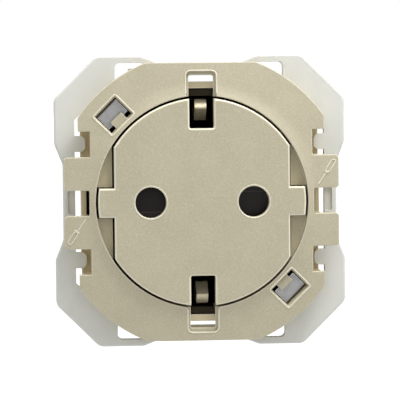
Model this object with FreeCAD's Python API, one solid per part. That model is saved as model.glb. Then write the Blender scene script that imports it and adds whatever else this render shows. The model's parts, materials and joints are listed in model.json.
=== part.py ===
import FreeCAD, Part
import math
import os
from FreeCAD import Vector

# Flush type F wall socket mechanism. Millimetres, +Z up, +X right, the front faces -Y.
# Y = 0 is the back face of the mounting frame, and X = Z = 0 is midway between the two pins.

# Plug standard
pin_spacing = 19.0
pin_hole_radius = 2.85
pin_grip_gap = 4.9
plug_depth = 17.0
key_width = 5.4

# Running and fitting clearances
plate_clearance = 0.42
key_clearance = 0.3
layer_clearance = 0.1
seat_clearance = 0.05
running_clearance = 0.05
thread_clearance = 0.02
screw_tip_gap = 0.2
pin_passage_gap = 0.35

# How far the pieces of one moulding sink into each other, and how far a cut runs past what it opens
fuse_depth = 0.3
cut_past = 1.0

# Front cover
recess_radius = 19.6
guide_chord_depth = 3.1
guide_recess = 2.2
sleeve_wall = 1.25
flange_thickness = 1.8
flange_forward = 7.3
flange_fall = 0.09
flange_overhang = 1.49
flange_side_overhang = 0.55
flange_top_overhang = 3.5
lip_height = 0.7
lip_foot_width = 2.7
lip_crest_radius = 0.12
tab_reach = 3.2
tab_inner_z = 2.35
tab_outer_z = 8.45
tab_corner = 0.4
skirt_wall = 1.25
skirt_depth = 1.5
skirt_margin = 0.3
release_window_inset = 1.12
release_window_drop = 3.0
release_window_corner = 0.35

# Notches that the frame's tongues reach into
side_notch_width = 4.75
side_notch_depth = 1.7
notch_inner_wall = 1.2

# Notches for the decorative frame's clips
clip_notch_width = 5.64
clip_notch_depth = 4.55
clip_notch_corner = 0.9
clip_notch_side_rim = 0.5
clip_notch_end_rim = 0.8
clip_notch_rim_depth = 0.7

# Latch windows in the cover and the steel tongues under them
latch_angles = {"upper_left": 135.0, "lower_right": 315.0}
latch_window_inset = 1.1
latch_window_length = 4.3
latch_window_width = 5.15
latch_window_rim = 0.3
latch_hook_width = 2.7
latch_hook_reach = 1.55
latch_hook_drop = 0.35
latch_hook_round = 0.25
latch_steel = 0.8
latch_tongue_width = 4.8
latch_tongue_drop = 0.4
latch_overlap = 0.7
latch_leg_length = 12.0
latch_post_wall = 0.8

# Mounting frame
frame_thickness = 2.0
frame_gap = 1.1
frame_side_rail = 3.8
frame_top_rail = 1.3
frame_dip = 1.5
frame_dip_flat = 14.0
frame_dip_width = 21.6
frame_corner_cut = 8.0
frame_corner_radius = 2.0
frame_edge_radius = 0.4
frame_window_corner = 0.9
frame_window_step = 2.93
frame_pocket_rim = 0.9
frame_pocket_height = 4.4
frame_pocket_depth = 0.5
frame_pocket_corner = 0.5
frame_bar_width = 26.4
frame_bar_gap = 1.2
frame_bar_overlap = 0.4
tongue_thickness = 1.1
tongue_side_gap = 0.875
tongue_end_gap = 0.8
tongue_rounding = 0.7

# Face plate
plate_thickness = 2.0
plate_proud = 0.4
plate_edge_radius = 0.4
clip_slot_width = 4.5
clip_slot_depth = 5.6
clip_slot_corner = 0.35

# Shutter behind the face plate
rotor_thickness = 2.0
rotor_arm_width = 6.4
rotor_arm_margin = 0.65
rotor_hub_radius = 5.6
rotor_pin_radius = 1.6
rotor_ledge_width = 1.4
rotor_ledge_step = 0.25
rotor_ramp_depth = 0.9
rotor_ramp_margin = 0.4
rotor_open_angle = 40.0
stop_peg_radius = 0.7
stop_peg_distance = 12.0

# Retainer behind the shutter, and its screws
retainer_thickness = 1.0
retainer_edge_gap = 0.15
retainer_ear_reach = 1.2
retainer_ear_width = 4.0
retainer_ear_groove_gap = 0.4
retainer_screw_radius = 0.8
retainer_screw_side_gap = 0.83
retainer_screw_z = 12.9
retainer_screw_depth = 0.9
retainer_boss_wall = 0.7
retainer_drive_depth = 0.4
countersink_slope = 1.0
countersink_height = 0.72

# Shutter spring
shutter_wire = 0.4
shutter_spring_radius = 3.2
shutter_spring_turns = 2
shutter_turn_gap = 0.02
shutter_seat_gap = 0.3
shutter_leg_gap = 0.15
shutter_leg_wall = 0.4

# Return springs
return_spring_radius = 2.25
return_spring_wire = 0.5
return_spring_turns = 11
spring_end_gap = 0.03
spring_seat_height = 1.2
spring_seat_gap = 0.3
spring_pocket_gap = 0.5
spring_pocket_wall = 1.0
spring_pocket_floor = 0.8
spring_pocket_back_gap = 2.1
spring_contact_gap = 1.3
spring_recess_gap = 0.75

# Contact carrier
carrier_floor = 1.5
earth_arm_width = 4.3
earth_arm_forward = 5.5

# Earth clips and the bridge behind the carrier
earth_strip = 0.6
earth_strip_width = 2.2
earth_clip_stand_off = 0.4
earth_clip_bulge = 4.6
earth_clip_rest_gap = 0.2
earth_clip_tip_gap = 0.3
earth_clip_lead_in = 2.2
earth_clip_return = 1.3
earth_clip_return_drop = 0.75
earth_clip_apex_reach = 4.8
earth_clip_bend_reach = 9.7
earth_clip_slot_gap = 0.15
bridge_width = 4.0
bridge_strip = 0.8
bridge_corner = 0.8
bridge_end_gap = 1.6
rivet_radius = 0.7
rivet_head_radius = 1.2
rivet_head_height = 0.5
rivet_terminal_gap = 0.3

# Line and neutral contacts
contact_strip = 0.8
contact_leaf_width = 5.0
contact_leaf_strip = 0.7
contact_leaf_end_gap = 2.65
contact_grip_start = 0.55
contact_grip_end = 0.75
contact_mouth_gap = 6.6
contact_base_side = 1.05
contact_base_margin = 0.8
contact_arm_width = 5.0
contact_hole_gap = 0.4

# Terminals and their clamp screws
terminal_contact_gap = 1.8
terminal_length = 6.8
terminal_wall_gap = 0.35
terminal_seat_gap = 0.02
terminal_side_wall = 0.3
terminal_corner = 0.4
wire_hole_radius = 1.6
wire_hole_floor = 2.0
terminal_screw_depth = 5.5
terminal_screw_radius = 1.25
terminal_screw_head = 1.9
terminal_screw_head_height = 1.2
terminal_screw_gap = 0.8
terminal_head_round = 0.3
screw_slot_width = 0.6
screw_slot_depth = 0.6

# Rear housing
housing_wall = 0.95
housing_depth = 16.0
housing_back = 1.5
housing_edge_radius = 0.8
housing_column_floor = 2.4
housing_groove_width = 1.0
housing_groove_depth = 0.35
housing_groove_inset = 4.5
housing_groove_shares = (0.37, 0.5)
wire_funnel_flare = 0.25
wire_funnel_depth = 0.5
body_corner_cut = 7.4
wire_entry_radius = 1.9
screw_opening_gap = 0.2
partition_front_gap = 1.0
partition_gap = 0.4
partition_wall = 0.8
partition_height = 9.6

# Assembly screws
assembly_screw_radius = 1.25
assembly_head_radius = 1.9
assembly_head_height = 1.6
assembly_drive_radius = 0.9
assembly_drive_depth = 1.0
assembly_hole_floor = 0.6
screw_column_wall = 0.6

# Depths along Y, from the front backwards
flange_front_y = -flange_forward
flange_back_y = flange_front_y + flange_thickness
lip_front_y = flange_front_y - lip_height
plate_front_y = lip_front_y - plate_proud
plate_back_y = plate_front_y + plate_thickness
guide_front_y = plate_front_y + guide_recess
rotor_front_y = plate_back_y + layer_clearance
rotor_back_y = rotor_front_y + rotor_thickness
retainer_front_y = rotor_back_y + layer_clearance
retainer_back_y = retainer_front_y + retainer_thickness
stop_y = retainer_front_y - seat_clearance
carrier_front_y = skirt_depth + seat_clearance
well_floor_y = retainer_back_y + plug_depth + layer_clearance
carrier_back_y = well_floor_y + carrier_floor
contact_front_y = carrier_back_y + seat_clearance
contact_back_y = contact_front_y + contact_strip
housing_back_y = carrier_back_y + housing_depth
housing_inner_y = housing_back_y - housing_back
spring_pocket_end_y = housing_inner_y - spring_pocket_back_gap
spring_floor_y = spring_pocket_end_y - spring_pocket_floor
terminal_back_y = housing_inner_y - layer_clearance
contact_leaf_length = housing_inner_y - contact_back_y - contact_leaf_end_gap

# Sizes across the body
sleeve_radius = recess_radius + sleeve_wall
pin_x = pin_spacing / 2
terminal_inner = pin_x + contact_leaf_width / 2 + terminal_contact_gap
terminal_outer = terminal_inner + terminal_length
housing_inner_half = max(sleeve_radius + layer_clearance, terminal_outer + terminal_wall_gap)
housing_half = housing_inner_half + housing_wall
body_half = housing_half + skirt_margin
body_diagonal = (2 * body_half - body_corner_cut) / math.sqrt(2)
housing_diagonal = body_diagonal - skirt_margin
housing_inner_diagonal = housing_diagonal - housing_wall
carrier_half = housing_inner_half - layer_clearance
carrier_diagonal = housing_inner_diagonal - layer_clearance
flange_radius = body_diagonal + flange_overhang
flange_half_x = body_half + flange_side_overhang
flange_half_z = body_half + flange_top_overhang
tab_x = body_half + tab_reach
lip_foot_radius = recess_radius + lip_foot_width
window_inner_x = recess_radius + release_window_inset
side_notch_x = body_half - side_notch_depth
side_notch_outer_z = tab_outer_z + side_notch_width
clip_notch_z = recess_radius + clip_notch_depth
guide_half_x = recess_radius - guide_chord_depth
key_groove_half = key_width / 2 + key_clearance / 2
pin_passage_radius = pin_hole_radius + pin_passage_gap

# Face plate and retainer
plate_radius = recess_radius - plate_clearance
plate_half_x = guide_half_x - key_clearance
clip_slot_inner_z = plate_radius - clip_slot_depth
ear_x = recess_radius + retainer_ear_reach
ear_groove_x = sleeve_radius + retainer_ear_groove_gap
ear_groove_half = retainer_ear_width / 2 + key_clearance / 2
retainer_head_radius = retainer_screw_radius + countersink_slope * countersink_height
retainer_screw_x = clip_slot_width / 2 + retainer_screw_side_gap + retainer_head_radius
retainer_hole_y = plate_back_y - retainer_screw_depth
shutter_pitch = shutter_wire + shutter_turn_gap
shutter_coil_height = shutter_spring_turns * shutter_pitch
shutter_seat_y = rotor_back_y - shutter_coil_height - shutter_wire - 2 * spring_end_gap
shutter_slot_end = rotor_hub_radius - shutter_leg_wall

# Mounting frame
frame_opening_x = body_half + frame_gap
frame_half = frame_opening_x + frame_side_rail
frame_opening_z = frame_half - frame_top_rail
frame_opening_diagonal = body_diagonal + frame_gap
frame_front_y = -frame_thickness
frame_dip_z = frame_opening_z - frame_dip
tongue_back_y = frame_front_y + tongue_thickness
tongue_half = side_notch_width / 2 - tongue_side_gap
tongue_mid_z = tab_outer_z + side_notch_width / 2

# Latch positions, measured outwards along the diagonal
latch_inner = recess_radius + latch_window_inset
latch_outer = latch_inner + latch_window_length
latch_hook_end = latch_inner + latch_hook_reach
latch_tongue_front_y = flange_back_y + latch_tongue_drop
latch_leg_outer = body_diagonal - skirt_wall - layer_clearance
latch_leg_inner = latch_leg_outer - latch_steel

# Screws that hold the housing to the cover
assembly_hole_radius = assembly_screw_radius + running_clearance
screw_diagonal = sleeve_radius + screw_column_wall + assembly_hole_radius
assembly_seat_y = carrier_back_y + housing_column_floor
assembly_bore_radius = assembly_head_radius + layer_clearance
column_radius = assembly_bore_radius + screw_column_wall
carrier_ear_radius = carrier_diagonal - screw_diagonal
screw_angles = (45.0, 225.0)

# Contacts and terminals, measured outwards from the body's axis
contact_hole_radius = pin_hole_radius + contact_hole_gap
contact_base_half = contact_hole_radius + contact_base_side
contact_inner_x = pin_x - contact_leaf_width / 2 - contact_base_margin
contact_outer_x = pin_x + contact_leaf_width / 2 + contact_base_margin
wire_hole_x = (terminal_inner + terminal_outer) / 2
wire_pitch = 2 * terminal_screw_head + terminal_screw_gap
terminal_half = wire_pitch / 2 + terminal_screw_head + terminal_side_wall
terminal_screw_y = contact_back_y + terminal_screw_depth
terminal_angles = {"neutral": 0.0, "earth": 90.0, "line": 180.0}
partition_x = contact_inner_x - partition_gap

# Return springs, as far out as the recess lets them stand
spring_pocket_radius = return_spring_radius + return_spring_wire / 2 + spring_pocket_gap
spring_pocket_outer = spring_pocket_radius + spring_pocket_wall
return_spring_z = contact_base_half + spring_contact_gap + spring_pocket_outer
return_spring_distance = recess_radius - spring_recess_gap - spring_pocket_radius
return_spring_x = math.sqrt(return_spring_distance ** 2 - return_spring_z ** 2)

# Earth clip, its arm and its way through the carrier
arm_inner_z = recess_radius - seat_clearance
arm_outer_z = sleeve_radius - layer_clearance
clip_back_z = arm_inner_z - earth_clip_stand_off
clip_mid_z = clip_back_z - earth_strip / 2
earth_arm_front_y = -earth_arm_forward
clip_tip_y = earth_arm_front_y + earth_clip_tip_gap
clip_apex_z = recess_radius - earth_clip_bulge
clip_apex_mid_z = clip_apex_z + earth_strip / 2
clip_end_z = clip_mid_z - earth_clip_rest_gap
clip_ridge_y = clip_tip_y + earth_strip / 2
bridge_front_y = contact_front_y + earth_strip + seat_clearance / 2
bridge_back_y = bridge_front_y + bridge_strip
rivet_z = terminal_inner - rivet_head_radius - rivet_terminal_gap


def block(x0, x1, y0, y1, z0, z1):
    """Box between two corners, in X, Y and Z."""
    return Part.makeBox(x1 - x0, y1 - y0, z1 - z0, Vector(x0, y0, z0))


def centred(half_x, y0, y1, half_z):
    """Box centred on the Y axis."""
    return block(-half_x, half_x, y0, y1, -half_z, half_z)


def rod(radius, y0, y1, x=0.0, z=0.0):
    """Cylinder along Y."""
    return Part.makeCylinder(radius, y1 - y0, Vector(x, y0, z), Vector(0, 1, 0))


def rod_inwards(radius, x, y, z, length):
    """Cylinder that starts at a point and runs towards the body's axis along X."""
    return Part.makeCylinder(radius, length, Vector(x, y, z), Vector(-1, 0, 0))


def tube(inner, outer, y0, y1):
    """Round tube about the Y axis."""
    return rod(outer, y0, y1).cut(rod(inner, y0, y1))


def turned(shape, degrees):
    """Copy of a shape turned about the Y axis, from +X towards -Z."""
    copy = shape.copy()
    copy.rotate(Vector(0, 0, 0), Vector(0, 1, 0), degrees)
    return copy


def at_angle(shape, degrees):
    """Copy of a shape that lies along +X, moved to an angle counted from +X towards +Z."""
    return turned(shape, -degrees)


def mirrored(shape, normal):
    """Copy of a shape mirrored in a plane through the origin."""
    return shape.mirror(Vector(0, 0, 0), normal)


def both_sides(shapes):
    """The shapes and their mirror images left and right."""
    return shapes + [mirrored(one, Vector(1, 0, 0)) for one in shapes]


def both_heights(shapes):
    """The shapes and their mirror images above and below."""
    return shapes + [mirrored(one, Vector(0, 0, 1)) for one in shapes]


def four_ways(shape):
    """The shape and its three mirror images in X and Z."""
    return both_heights(both_sides([shape]))


def prism(points, y0, y1):
    """Polygon given by X and Z, extruded along Y."""
    corners = [Vector(x, y0, z) for x, z in points]
    outline = Part.makePolygon(corners + corners[:1])
    return Part.Face(outline).extrude(Vector(0, y1 - y0, 0))


def octagon(half, diagonal, y0, y1):
    """Square bar along Y with its corners cut at a distance from the axis."""
    return centred(half, y0, y1, half).common(turned(centred(diagonal, y0, y1, diagonal), 45))


def joined(first, others):
    """One solid from several."""
    return first.fuse(others).removeSplitter()


def edges_along_y(shape, test):
    """Straight edges parallel to Y whose X and Z pass a test."""
    found = []
    for edge in shape.Edges:
        ends = [vertex.Point for vertex in edge.Vertexes]
        if len(ends) == 2 and abs(ends[0].x - ends[1].x) + abs(ends[0].z - ends[1].z) < 1e-6:
            if abs(ends[0].y - ends[1].y) > 1e-6 and test(ends[0].x, ends[0].z):
                found.append(edge)
    return found


def edges_on_plane(shape, y):
    """Edges that lie in one plane across Y."""
    box_of = [(edge, edge.BoundBox) for edge in shape.Edges]
    return [edge for edge, box in box_of if abs(box.YMin - y) < 1e-5 and abs(box.YMax - y) < 1e-5]


def outermost_edges(edges, x):
    """Those edges that lie at X, the piece's furthest reach."""
    return [edge for edge in edges if edge.BoundBox.XMin > x - 1e-5]


def is_circle(edge, radius):
    """Is this edge round, with this radius?"""
    return hasattr(edge.Curve, "Radius") and abs(edge.Curve.Radius - radius) < 1e-6


def strip(points, thickness, x0, x1):
    """Bent metal strip along a line of Y and Z points."""
    line = Part.makePolygon([Vector(x0, y, z) for y, z in points])
    return line.makeOffset2D(thickness / 2, 0, True, False).extrude(Vector(x1 - x0, 0, 0))


def coil(radius, wire_radius, pitch, height, y0, x=0.0, z=0.0):
    """Round wire wound about a line parallel to Y, its first turn's centre at y0."""
    helix = Part.makeHelix(pitch, height, radius)
    start = Part.Wire([Part.makeCircle(wire_radius, Vector(radius, 0, 0), Vector(0, 1, 0))])
    wound = Part.Wire(helix.Edges).makePipeShell([start], True, True)
    wound.rotate(Vector(0, 0, 0), Vector(1, 0, 0), -90)
    wound.translate(Vector(x, y0, z))
    return wound


def guide_segments(y0, y1):
    """The two chord-shaped guides at the sides of the recess, parted by the key grooves."""
    radius = recess_radius + fuse_depth
    ring = rod(radius, y0, y1)
    ring = ring.cut(centred(guide_half_x, y0, y1, radius))
    return ring.cut(centred(radius, y0, y1, key_groove_half))


def plate_outline(radius, half_x, key_half, slot_half, slot_z, y0, y1):
    """Plug face outline: a disc with flat sides, two keys and two earth slots."""
    disc = rod(radius, y0, y1)
    body = disc.common(centred(half_x, y0, y1, radius))
    keys = disc.common(centred(radius, y0, y1, key_half))
    slot = block(-slot_half, slot_half, y0, y1, slot_z, radius + cut_past)
    slot = slot.makeFillet(clip_slot_corner, edges_along_y(slot, lambda x, z: z < slot_z + 1e-5))
    return joined(body, [keys]).cut(both_heights([slot]))


def flange_level(radius):
    """Y of the flange's front at a distance from the axis: it falls back evenly from the lip's foot."""
    return flange_front_y + flange_fall * (radius - lip_foot_radius)


def lip_slope(top, foot):
    """Hollow arc from the lip's crest to its foot, where it meets the flange smoothly."""
    span = top - foot
    ahead = Vector(flange_fall, -1, 0).normalize()
    radius = span.dot(span) / (2 * span.dot(ahead))
    centre = foot + ahead * radius
    halfway = (top - centre).normalize() + (foot - centre).normalize()
    return Part.Arc(top, centre + halfway.normalize() * radius, foot).toShape()


def cover_front(reach):
    """Turned front of the cover: raised lip, its slope, and the flange out to a radius."""
    crest = lip_front_y
    easing = lip_crest_radius * (1 - math.sqrt(0.5))
    start = Vector(recess_radius, flange_back_y, 0)
    edge = Vector(recess_radius, crest + lip_crest_radius, 0)
    middle = Vector(recess_radius + easing, crest + easing, 0)
    top = Vector(recess_radius + lip_crest_radius, crest, 0)
    foot = Vector(lip_foot_radius, flange_front_y, 0)
    rim = Vector(reach, flange_level(reach), 0)
    back = Vector(reach, flange_back_y, 0)
    lines = [
        Part.makeLine(start, edge),
        Part.Arc(edge, middle, top).toShape(),
        lip_slope(top, foot),
        Part.makeLine(foot, rim),
        Part.makeLine(rim, back),
        Part.makeLine(back, start),
    ]
    return Part.Face(Part.Wire(lines)).revolve(Vector(0, 0, 0), Vector(0, 1, 0), 360)


def cover_tab():
    """Outline of the side tab at the upper right, with its corners eased."""
    root = side_notch_x - fuse_depth
    tab = block(root, tab_x, lip_front_y - cut_past, flange_back_y, tab_inner_z, tab_outer_z)
    corners = edges_along_y(tab, lambda x, z: x > tab_x - 1e-5)
    return tab.makeChamfer(tab_corner, corners)


def clip_notch():
    """Cut for a clip at the top of the flange: a slot inside a shallow step with rounded corners."""
    front = lip_front_y - cut_past
    half = clip_notch_width / 2
    step_back_y = flange_front_y + clip_notch_rim_depth
    step = block(-half, half, front, step_back_y, recess_radius - clip_notch_side_rim, clip_notch_z)
    corners = edges_along_y(step, lambda x, z: z > clip_notch_z - 1e-5)
    step = step.makeFillet(clip_notch_corner, corners)
    half = half - clip_notch_side_rim
    end_z = clip_notch_z - clip_notch_end_rim
    slot = block(-half, half, front, flange_back_y, arm_outer_z, end_z)
    corners = edges_along_y(slot, lambda x, z: z > end_z - 1e-5)
    return step.fuse([slot.makeFillet(clip_notch_corner - clip_notch_side_rim, corners)])


def latch_window():
    """Cut through the flange with a bevelled rim, drawn along +X."""
    half = latch_window_width / 2
    rim = latch_window_rim
    front = lip_front_y - cut_past
    rim_y = flange_level(latch_outer) + rim
    cut = block(latch_inner, latch_outer, front, flange_back_y, -half, half)
    wide = block(latch_inner - rim, latch_outer + rim, front, rim_y, -half - rim, half + rim)
    bevel = wide.makeChamfer(rim * 0.98, edges_on_plane(wide, rim_y))
    return cut.fuse([bevel])


def latch_hook():
    """Snap hook of the cover over the steel tongue, drawn along +X."""
    half = latch_hook_width / 2
    front = flange_front_y + latch_hook_drop
    back = latch_tongue_front_y - seat_clearance
    hook = block(latch_inner - fuse_depth, latch_hook_end, front, back, -half, half)
    nose = outermost_edges(edges_on_plane(hook, front), latch_hook_end)
    return hook.makeFillet(latch_hook_round, nose)


def cover_solid():
    """Flange, skirt, sleeve, lip, tabs, notch walls and screw bosses before any cut."""
    ahead = lip_front_y - cut_past
    outline = rod(flange_radius, ahead, flange_back_y)
    outline = outline.common(centred(flange_half_x, ahead, flange_back_y, flange_half_z))
    outline = joined(outline, four_ways(cover_tab()))
    reach = max(flange_radius, math.hypot(tab_x, tab_outer_z)) + cut_past
    flange = outline.common(cover_front(reach))
    skirt = octagon(body_half, body_diagonal, flange_back_y, skirt_depth)
    skirt = skirt.cut(octagon(body_half - skirt_wall, body_diagonal - skirt_wall, flange_back_y, skirt_depth))
    sleeve = rod(sleeve_radius, flange_front_y, skirt_depth)
    notch_wall = block(
        side_notch_x - notch_inner_wall, body_half, flange_back_y, skirt_depth,
        tab_outer_z - notch_inner_wall, side_notch_outer_z + notch_inner_wall,
    )
    boss = rod(column_radius, flange_back_y, skirt_depth, screw_diagonal)
    bosses = [at_angle(boss, angle) for angle in screw_angles]
    pieces = [skirt, sleeve] + four_ways(notch_wall) + bosses
    return joined(flange, pieces)


def release_cut(outer_x, back):
    """Cut between the two right-hand tabs, from the front to a depth, with its inner corners rounded."""
    cut = block(window_inner_x, outer_x, lip_front_y - cut_past, back, -tab_inner_z, tab_inner_z)
    return cut.makeFillet(release_window_corner, edges_along_y(cut, lambda x, z: x < window_inner_x + 1e-5))


def side_cuts():
    """Release windows, pockets and ear grooves of both sides, and the four tongue notches."""
    front = lip_front_y - cut_past
    back = skirt_depth + cut_past
    reach = tab_x + cut_past
    window = release_cut(reach, flange_back_y + release_window_drop)
    pocket = release_cut(ear_groove_x, back)
    groove = block(guide_half_x, ear_groove_x, stop_y, back, -ear_groove_half, ear_groove_half)
    notch_back_y = tongue_back_y + seat_clearance
    notch = block(side_notch_x, reach, front, notch_back_y, tab_outer_z, side_notch_outer_z)
    return both_sides([window, pocket, groove]) + four_ways(notch)


def front_cover():
    """Flange, raised lip, recess sleeve, square skirt, side tabs and snap hooks in one moulding."""
    front = lip_front_y - cut_past
    back = skirt_depth + cut_past
    cover = cover_solid().cut(rod(recess_radius, front, back))
    cover = joined(cover, [guide_segments(guide_front_y, skirt_depth)])

    arm_half = earth_arm_width / 2 + key_clearance / 2
    arm_slot = block(-arm_half, arm_half, front, back, guide_half_x, sleeve_radius)
    latches = [at_angle(latch_window(), angle) for angle in latch_angles.values()]
    hole_front = flange_back_y + assembly_hole_floor
    hole = rod(assembly_screw_radius + thread_clearance, hole_front, back, screw_diagonal)
    holes = [at_angle(hole, angle) for angle in screw_angles]
    cover = cover.cut(side_cuts() + both_heights([clip_notch(), arm_slot]) + latches + holes)
    hooks = [at_angle(latch_hook(), angle) for angle in latch_angles.values()]
    return joined(cover, hooks)


def frame_edge():
    """Points of the frame's outer edge, one side after another, going round from the top left."""
    corner = frame_half - frame_corner_cut
    low = frame_half - frame_dip
    side = [(-corner, frame_half), (-frame_dip_width / 2, frame_half), (-frame_dip_flat / 2, low)]
    side = side + [(-x, z) for x, z in reversed(side)]
    points = []
    for cosine, sine in ((1, 0), (0, -1), (-1, 0), (0, 1)):
        for x, z in side:
            points.append((x * cosine - z * sine, x * sine + z * cosine))
    return points


def frame_opening():
    """Cut for the body: wide at the sides and top, and close to the body at its corners."""
    corner_sum = frame_opening_diagonal * math.sqrt(2)
    shoulder_z = frame_opening_z - frame_window_step
    shoulder_x = corner_sum - shoulder_z
    quarter = [
        (frame_dip_flat / 2, frame_dip_z),
        (frame_dip_width / 2, frame_opening_z),
        (shoulder_x, frame_opening_z),
        (shoulder_x, shoulder_z),
        (frame_opening_x, corner_sum - frame_opening_x),
    ]
    right = quarter + [(x, -z) for x, z in reversed(quarter)]
    points = right + [(-x, z) for x, z in reversed(right)]
    cut = prism(points, frame_front_y - cut_past, cut_past)
    at_top = abs(frame_opening_z) - 1e-5
    corners = edges_along_y(cut, lambda x, z: abs(x) > shoulder_x - 1e-5 and abs(z) > at_top)
    return cut.makeFillet(frame_window_corner, corners)


def frame_tongue():
    """Rounded tongue at the upper right that reaches into the cover's notch."""
    tip = side_notch_x + tongue_end_gap
    root = frame_opening_x + fuse_depth
    low = tongue_mid_z - tongue_half
    tongue = block(tip, root, frame_front_y, tongue_back_y, low, low + 2 * tongue_half)
    ends = edges_along_y(tongue, lambda x, z: x < tip + 1e-5)
    return tongue.makeFillet(tongue_half * tongue_rounding, ends)


def mounting_frame():
    """Off-white frame with cut corners, dipped sides and four tongues that carry the cover."""
    plate = prism(frame_edge(), frame_front_y, 0)
    plate = plate.makeFillet(frame_corner_radius, edges_along_y(plate, lambda x, z: True))
    plate = plate.makeFillet(frame_edge_radius, edges_on_plane(plate, frame_front_y))
    plate = plate.cut(frame_opening())

    outer_x = frame_half - frame_dip - frame_pocket_rim
    half = frame_pocket_height / 2
    pocket = block(
        frame_opening_x - cut_past, outer_x, frame_front_y - cut_past,
        frame_front_y + frame_pocket_depth, -half, half,
    )
    pocket = pocket.makeFillet(frame_pocket_corner, edges_along_y(pocket, lambda x, z: x > outer_x - 1e-5))
    plate = plate.cut(both_sides([pocket]))

    half = frame_bar_width / 2
    bar_z = body_half + frame_bar_gap
    bar = block(-half, half, frame_front_y / 2, 0, bar_z, frame_dip_z + frame_bar_overlap)
    return joined(plate, four_ways(frame_tongue()) + both_heights([bar]))


def pin_pair(radius, y0, y1):
    """Two cylinders on the pin positions."""
    return [rod(radius, y0, y1, pin_x), rod(radius, y0, y1, -pin_x)]


def at_retainer_screws(radius, y0, y1):
    """Four cylinders on the retainer's screw positions."""
    return four_ways(rod(radius, y0, y1, retainer_screw_x, retainer_screw_z))


def rotor_stops():
    """Pegs on the back of the plate that stop the shutter closed and fully open."""
    offset = rotor_arm_width / 2 + stop_peg_radius + seat_clearance
    lead = math.degrees(math.asin(offset / stop_peg_distance))
    peg = rod(stop_peg_radius, plate_back_y, retainer_front_y, stop_peg_distance)
    angles = [-lead, rotor_open_angle + lead]
    return [at_angle(peg, angle + half_turn) for angle in angles for half_turn in (0, 180)]


def face_plate():
    """Plug face with eased edges, screw bosses, and the shutter's pivot and stops."""
    plate = plate_outline(
        plate_radius, plate_half_x, key_width / 2, clip_slot_width / 2,
        clip_slot_inner_z, plate_front_y, plate_back_y,
    )
    plate = plate.cut(pin_pair(pin_hole_radius, plate_front_y - cut_past, plate_back_y + cut_past))
    front_edges = edges_on_plane(plate, plate_front_y)
    outline = [edge for edge in front_edges if not is_circle(edge, pin_hole_radius)]
    plate = plate.makeFillet(plate_edge_radius, outline)
    front_edges = edges_on_plane(plate, plate_front_y)
    plate = plate.makeFillet(plate_edge_radius / 2, [e for e in front_edges if is_circle(e, pin_hole_radius)])

    boss_radius = retainer_screw_radius + retainer_boss_wall
    bosses = at_retainer_screws(boss_radius, plate_back_y, retainer_front_y)
    pivot = rod(rotor_pin_radius, plate_back_y, retainer_front_y)
    hole_radius = retainer_screw_radius + thread_clearance
    holes = at_retainer_screws(hole_radius, retainer_hole_y, retainer_front_y + cut_past)
    return joined(plate, bosses + [pivot] + rotor_stops()).cut(holes)


def rotor_arm():
    """Arm of the shutter along +X, with a ramp that falls away from the ledge at its edge."""
    reach = pin_x + pin_hole_radius + rotor_arm_margin
    half = rotor_arm_width / 2
    arm = rod(reach, rotor_front_y, rotor_back_y)
    arm = arm.common(block(0, reach, rotor_front_y, rotor_back_y, -half, half))
    ledge = half - rotor_ledge_width
    ramp_x = pin_x - pin_hole_radius - rotor_ramp_margin
    front = rotor_front_y - cut_past
    low = -half - cut_past
    points = [
        Vector(ramp_x, front, ledge),
        Vector(ramp_x, rotor_front_y + rotor_ledge_step, ledge),
        Vector(ramp_x, rotor_front_y + rotor_ramp_depth, low),
        Vector(ramp_x, front, low),
    ]
    ramp = Part.Face(Part.makePolygon(points + points[:1])).extrude(Vector(reach, 0, 0))
    return arm.cut(ramp)


def shutter_rotor():
    """Two-armed shutter that closes both pin holes and turns on the plate's pivot."""
    hub = rod(rotor_hub_radius, rotor_front_y, rotor_back_y)
    arm = rotor_arm()
    rotor = joined(hub, [arm, turned(arm, 180)])
    bore_radius = rotor_pin_radius + running_clearance
    bore = rod(bore_radius, rotor_front_y - cut_past, rotor_back_y + cut_past)
    seat_gap = shutter_wire / 2 + shutter_seat_gap
    inner = shutter_spring_radius - seat_gap
    seat = tube(inner, shutter_spring_radius + seat_gap, shutter_seat_y, rotor_back_y)
    half = shutter_wire / 2 + shutter_leg_gap
    leg_slot = block(shutter_spring_radius, shutter_slot_end, shutter_seat_y, rotor_back_y, -half, half)
    return rotor.cut([bore, seat, leg_slot])


def shutter_spring():
    """Small torsion spring between the shutter and the retainer."""
    radius = shutter_wire / 2
    start_y = shutter_seat_y + radius + spring_end_gap
    end_y = start_y + shutter_coil_height
    turns = coil(shutter_spring_radius, radius, shutter_pitch, shutter_coil_height, start_y)
    inner_leg = rod_inwards(
        radius, shutter_slot_end - shutter_leg_gap, start_y, 0,
        shutter_slot_end - shutter_leg_gap - shutter_spring_radius,
    )
    outer_leg = rod(radius, end_y, retainer_back_y - shutter_leg_gap, shutter_spring_radius)
    return joined(turns, [inner_leg, outer_leg])


def countersink(y, clearance):
    """Cone of a flush screw head at the upper right screw position, its flat end at y."""
    start = Vector(retainer_screw_x, y - countersink_height, retainer_screw_z)
    radii = (retainer_screw_radius + clearance, retainer_head_radius + clearance)
    return Part.makeCone(radii[0], radii[1], countersink_height, start, Vector(0, 1, 0))


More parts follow.
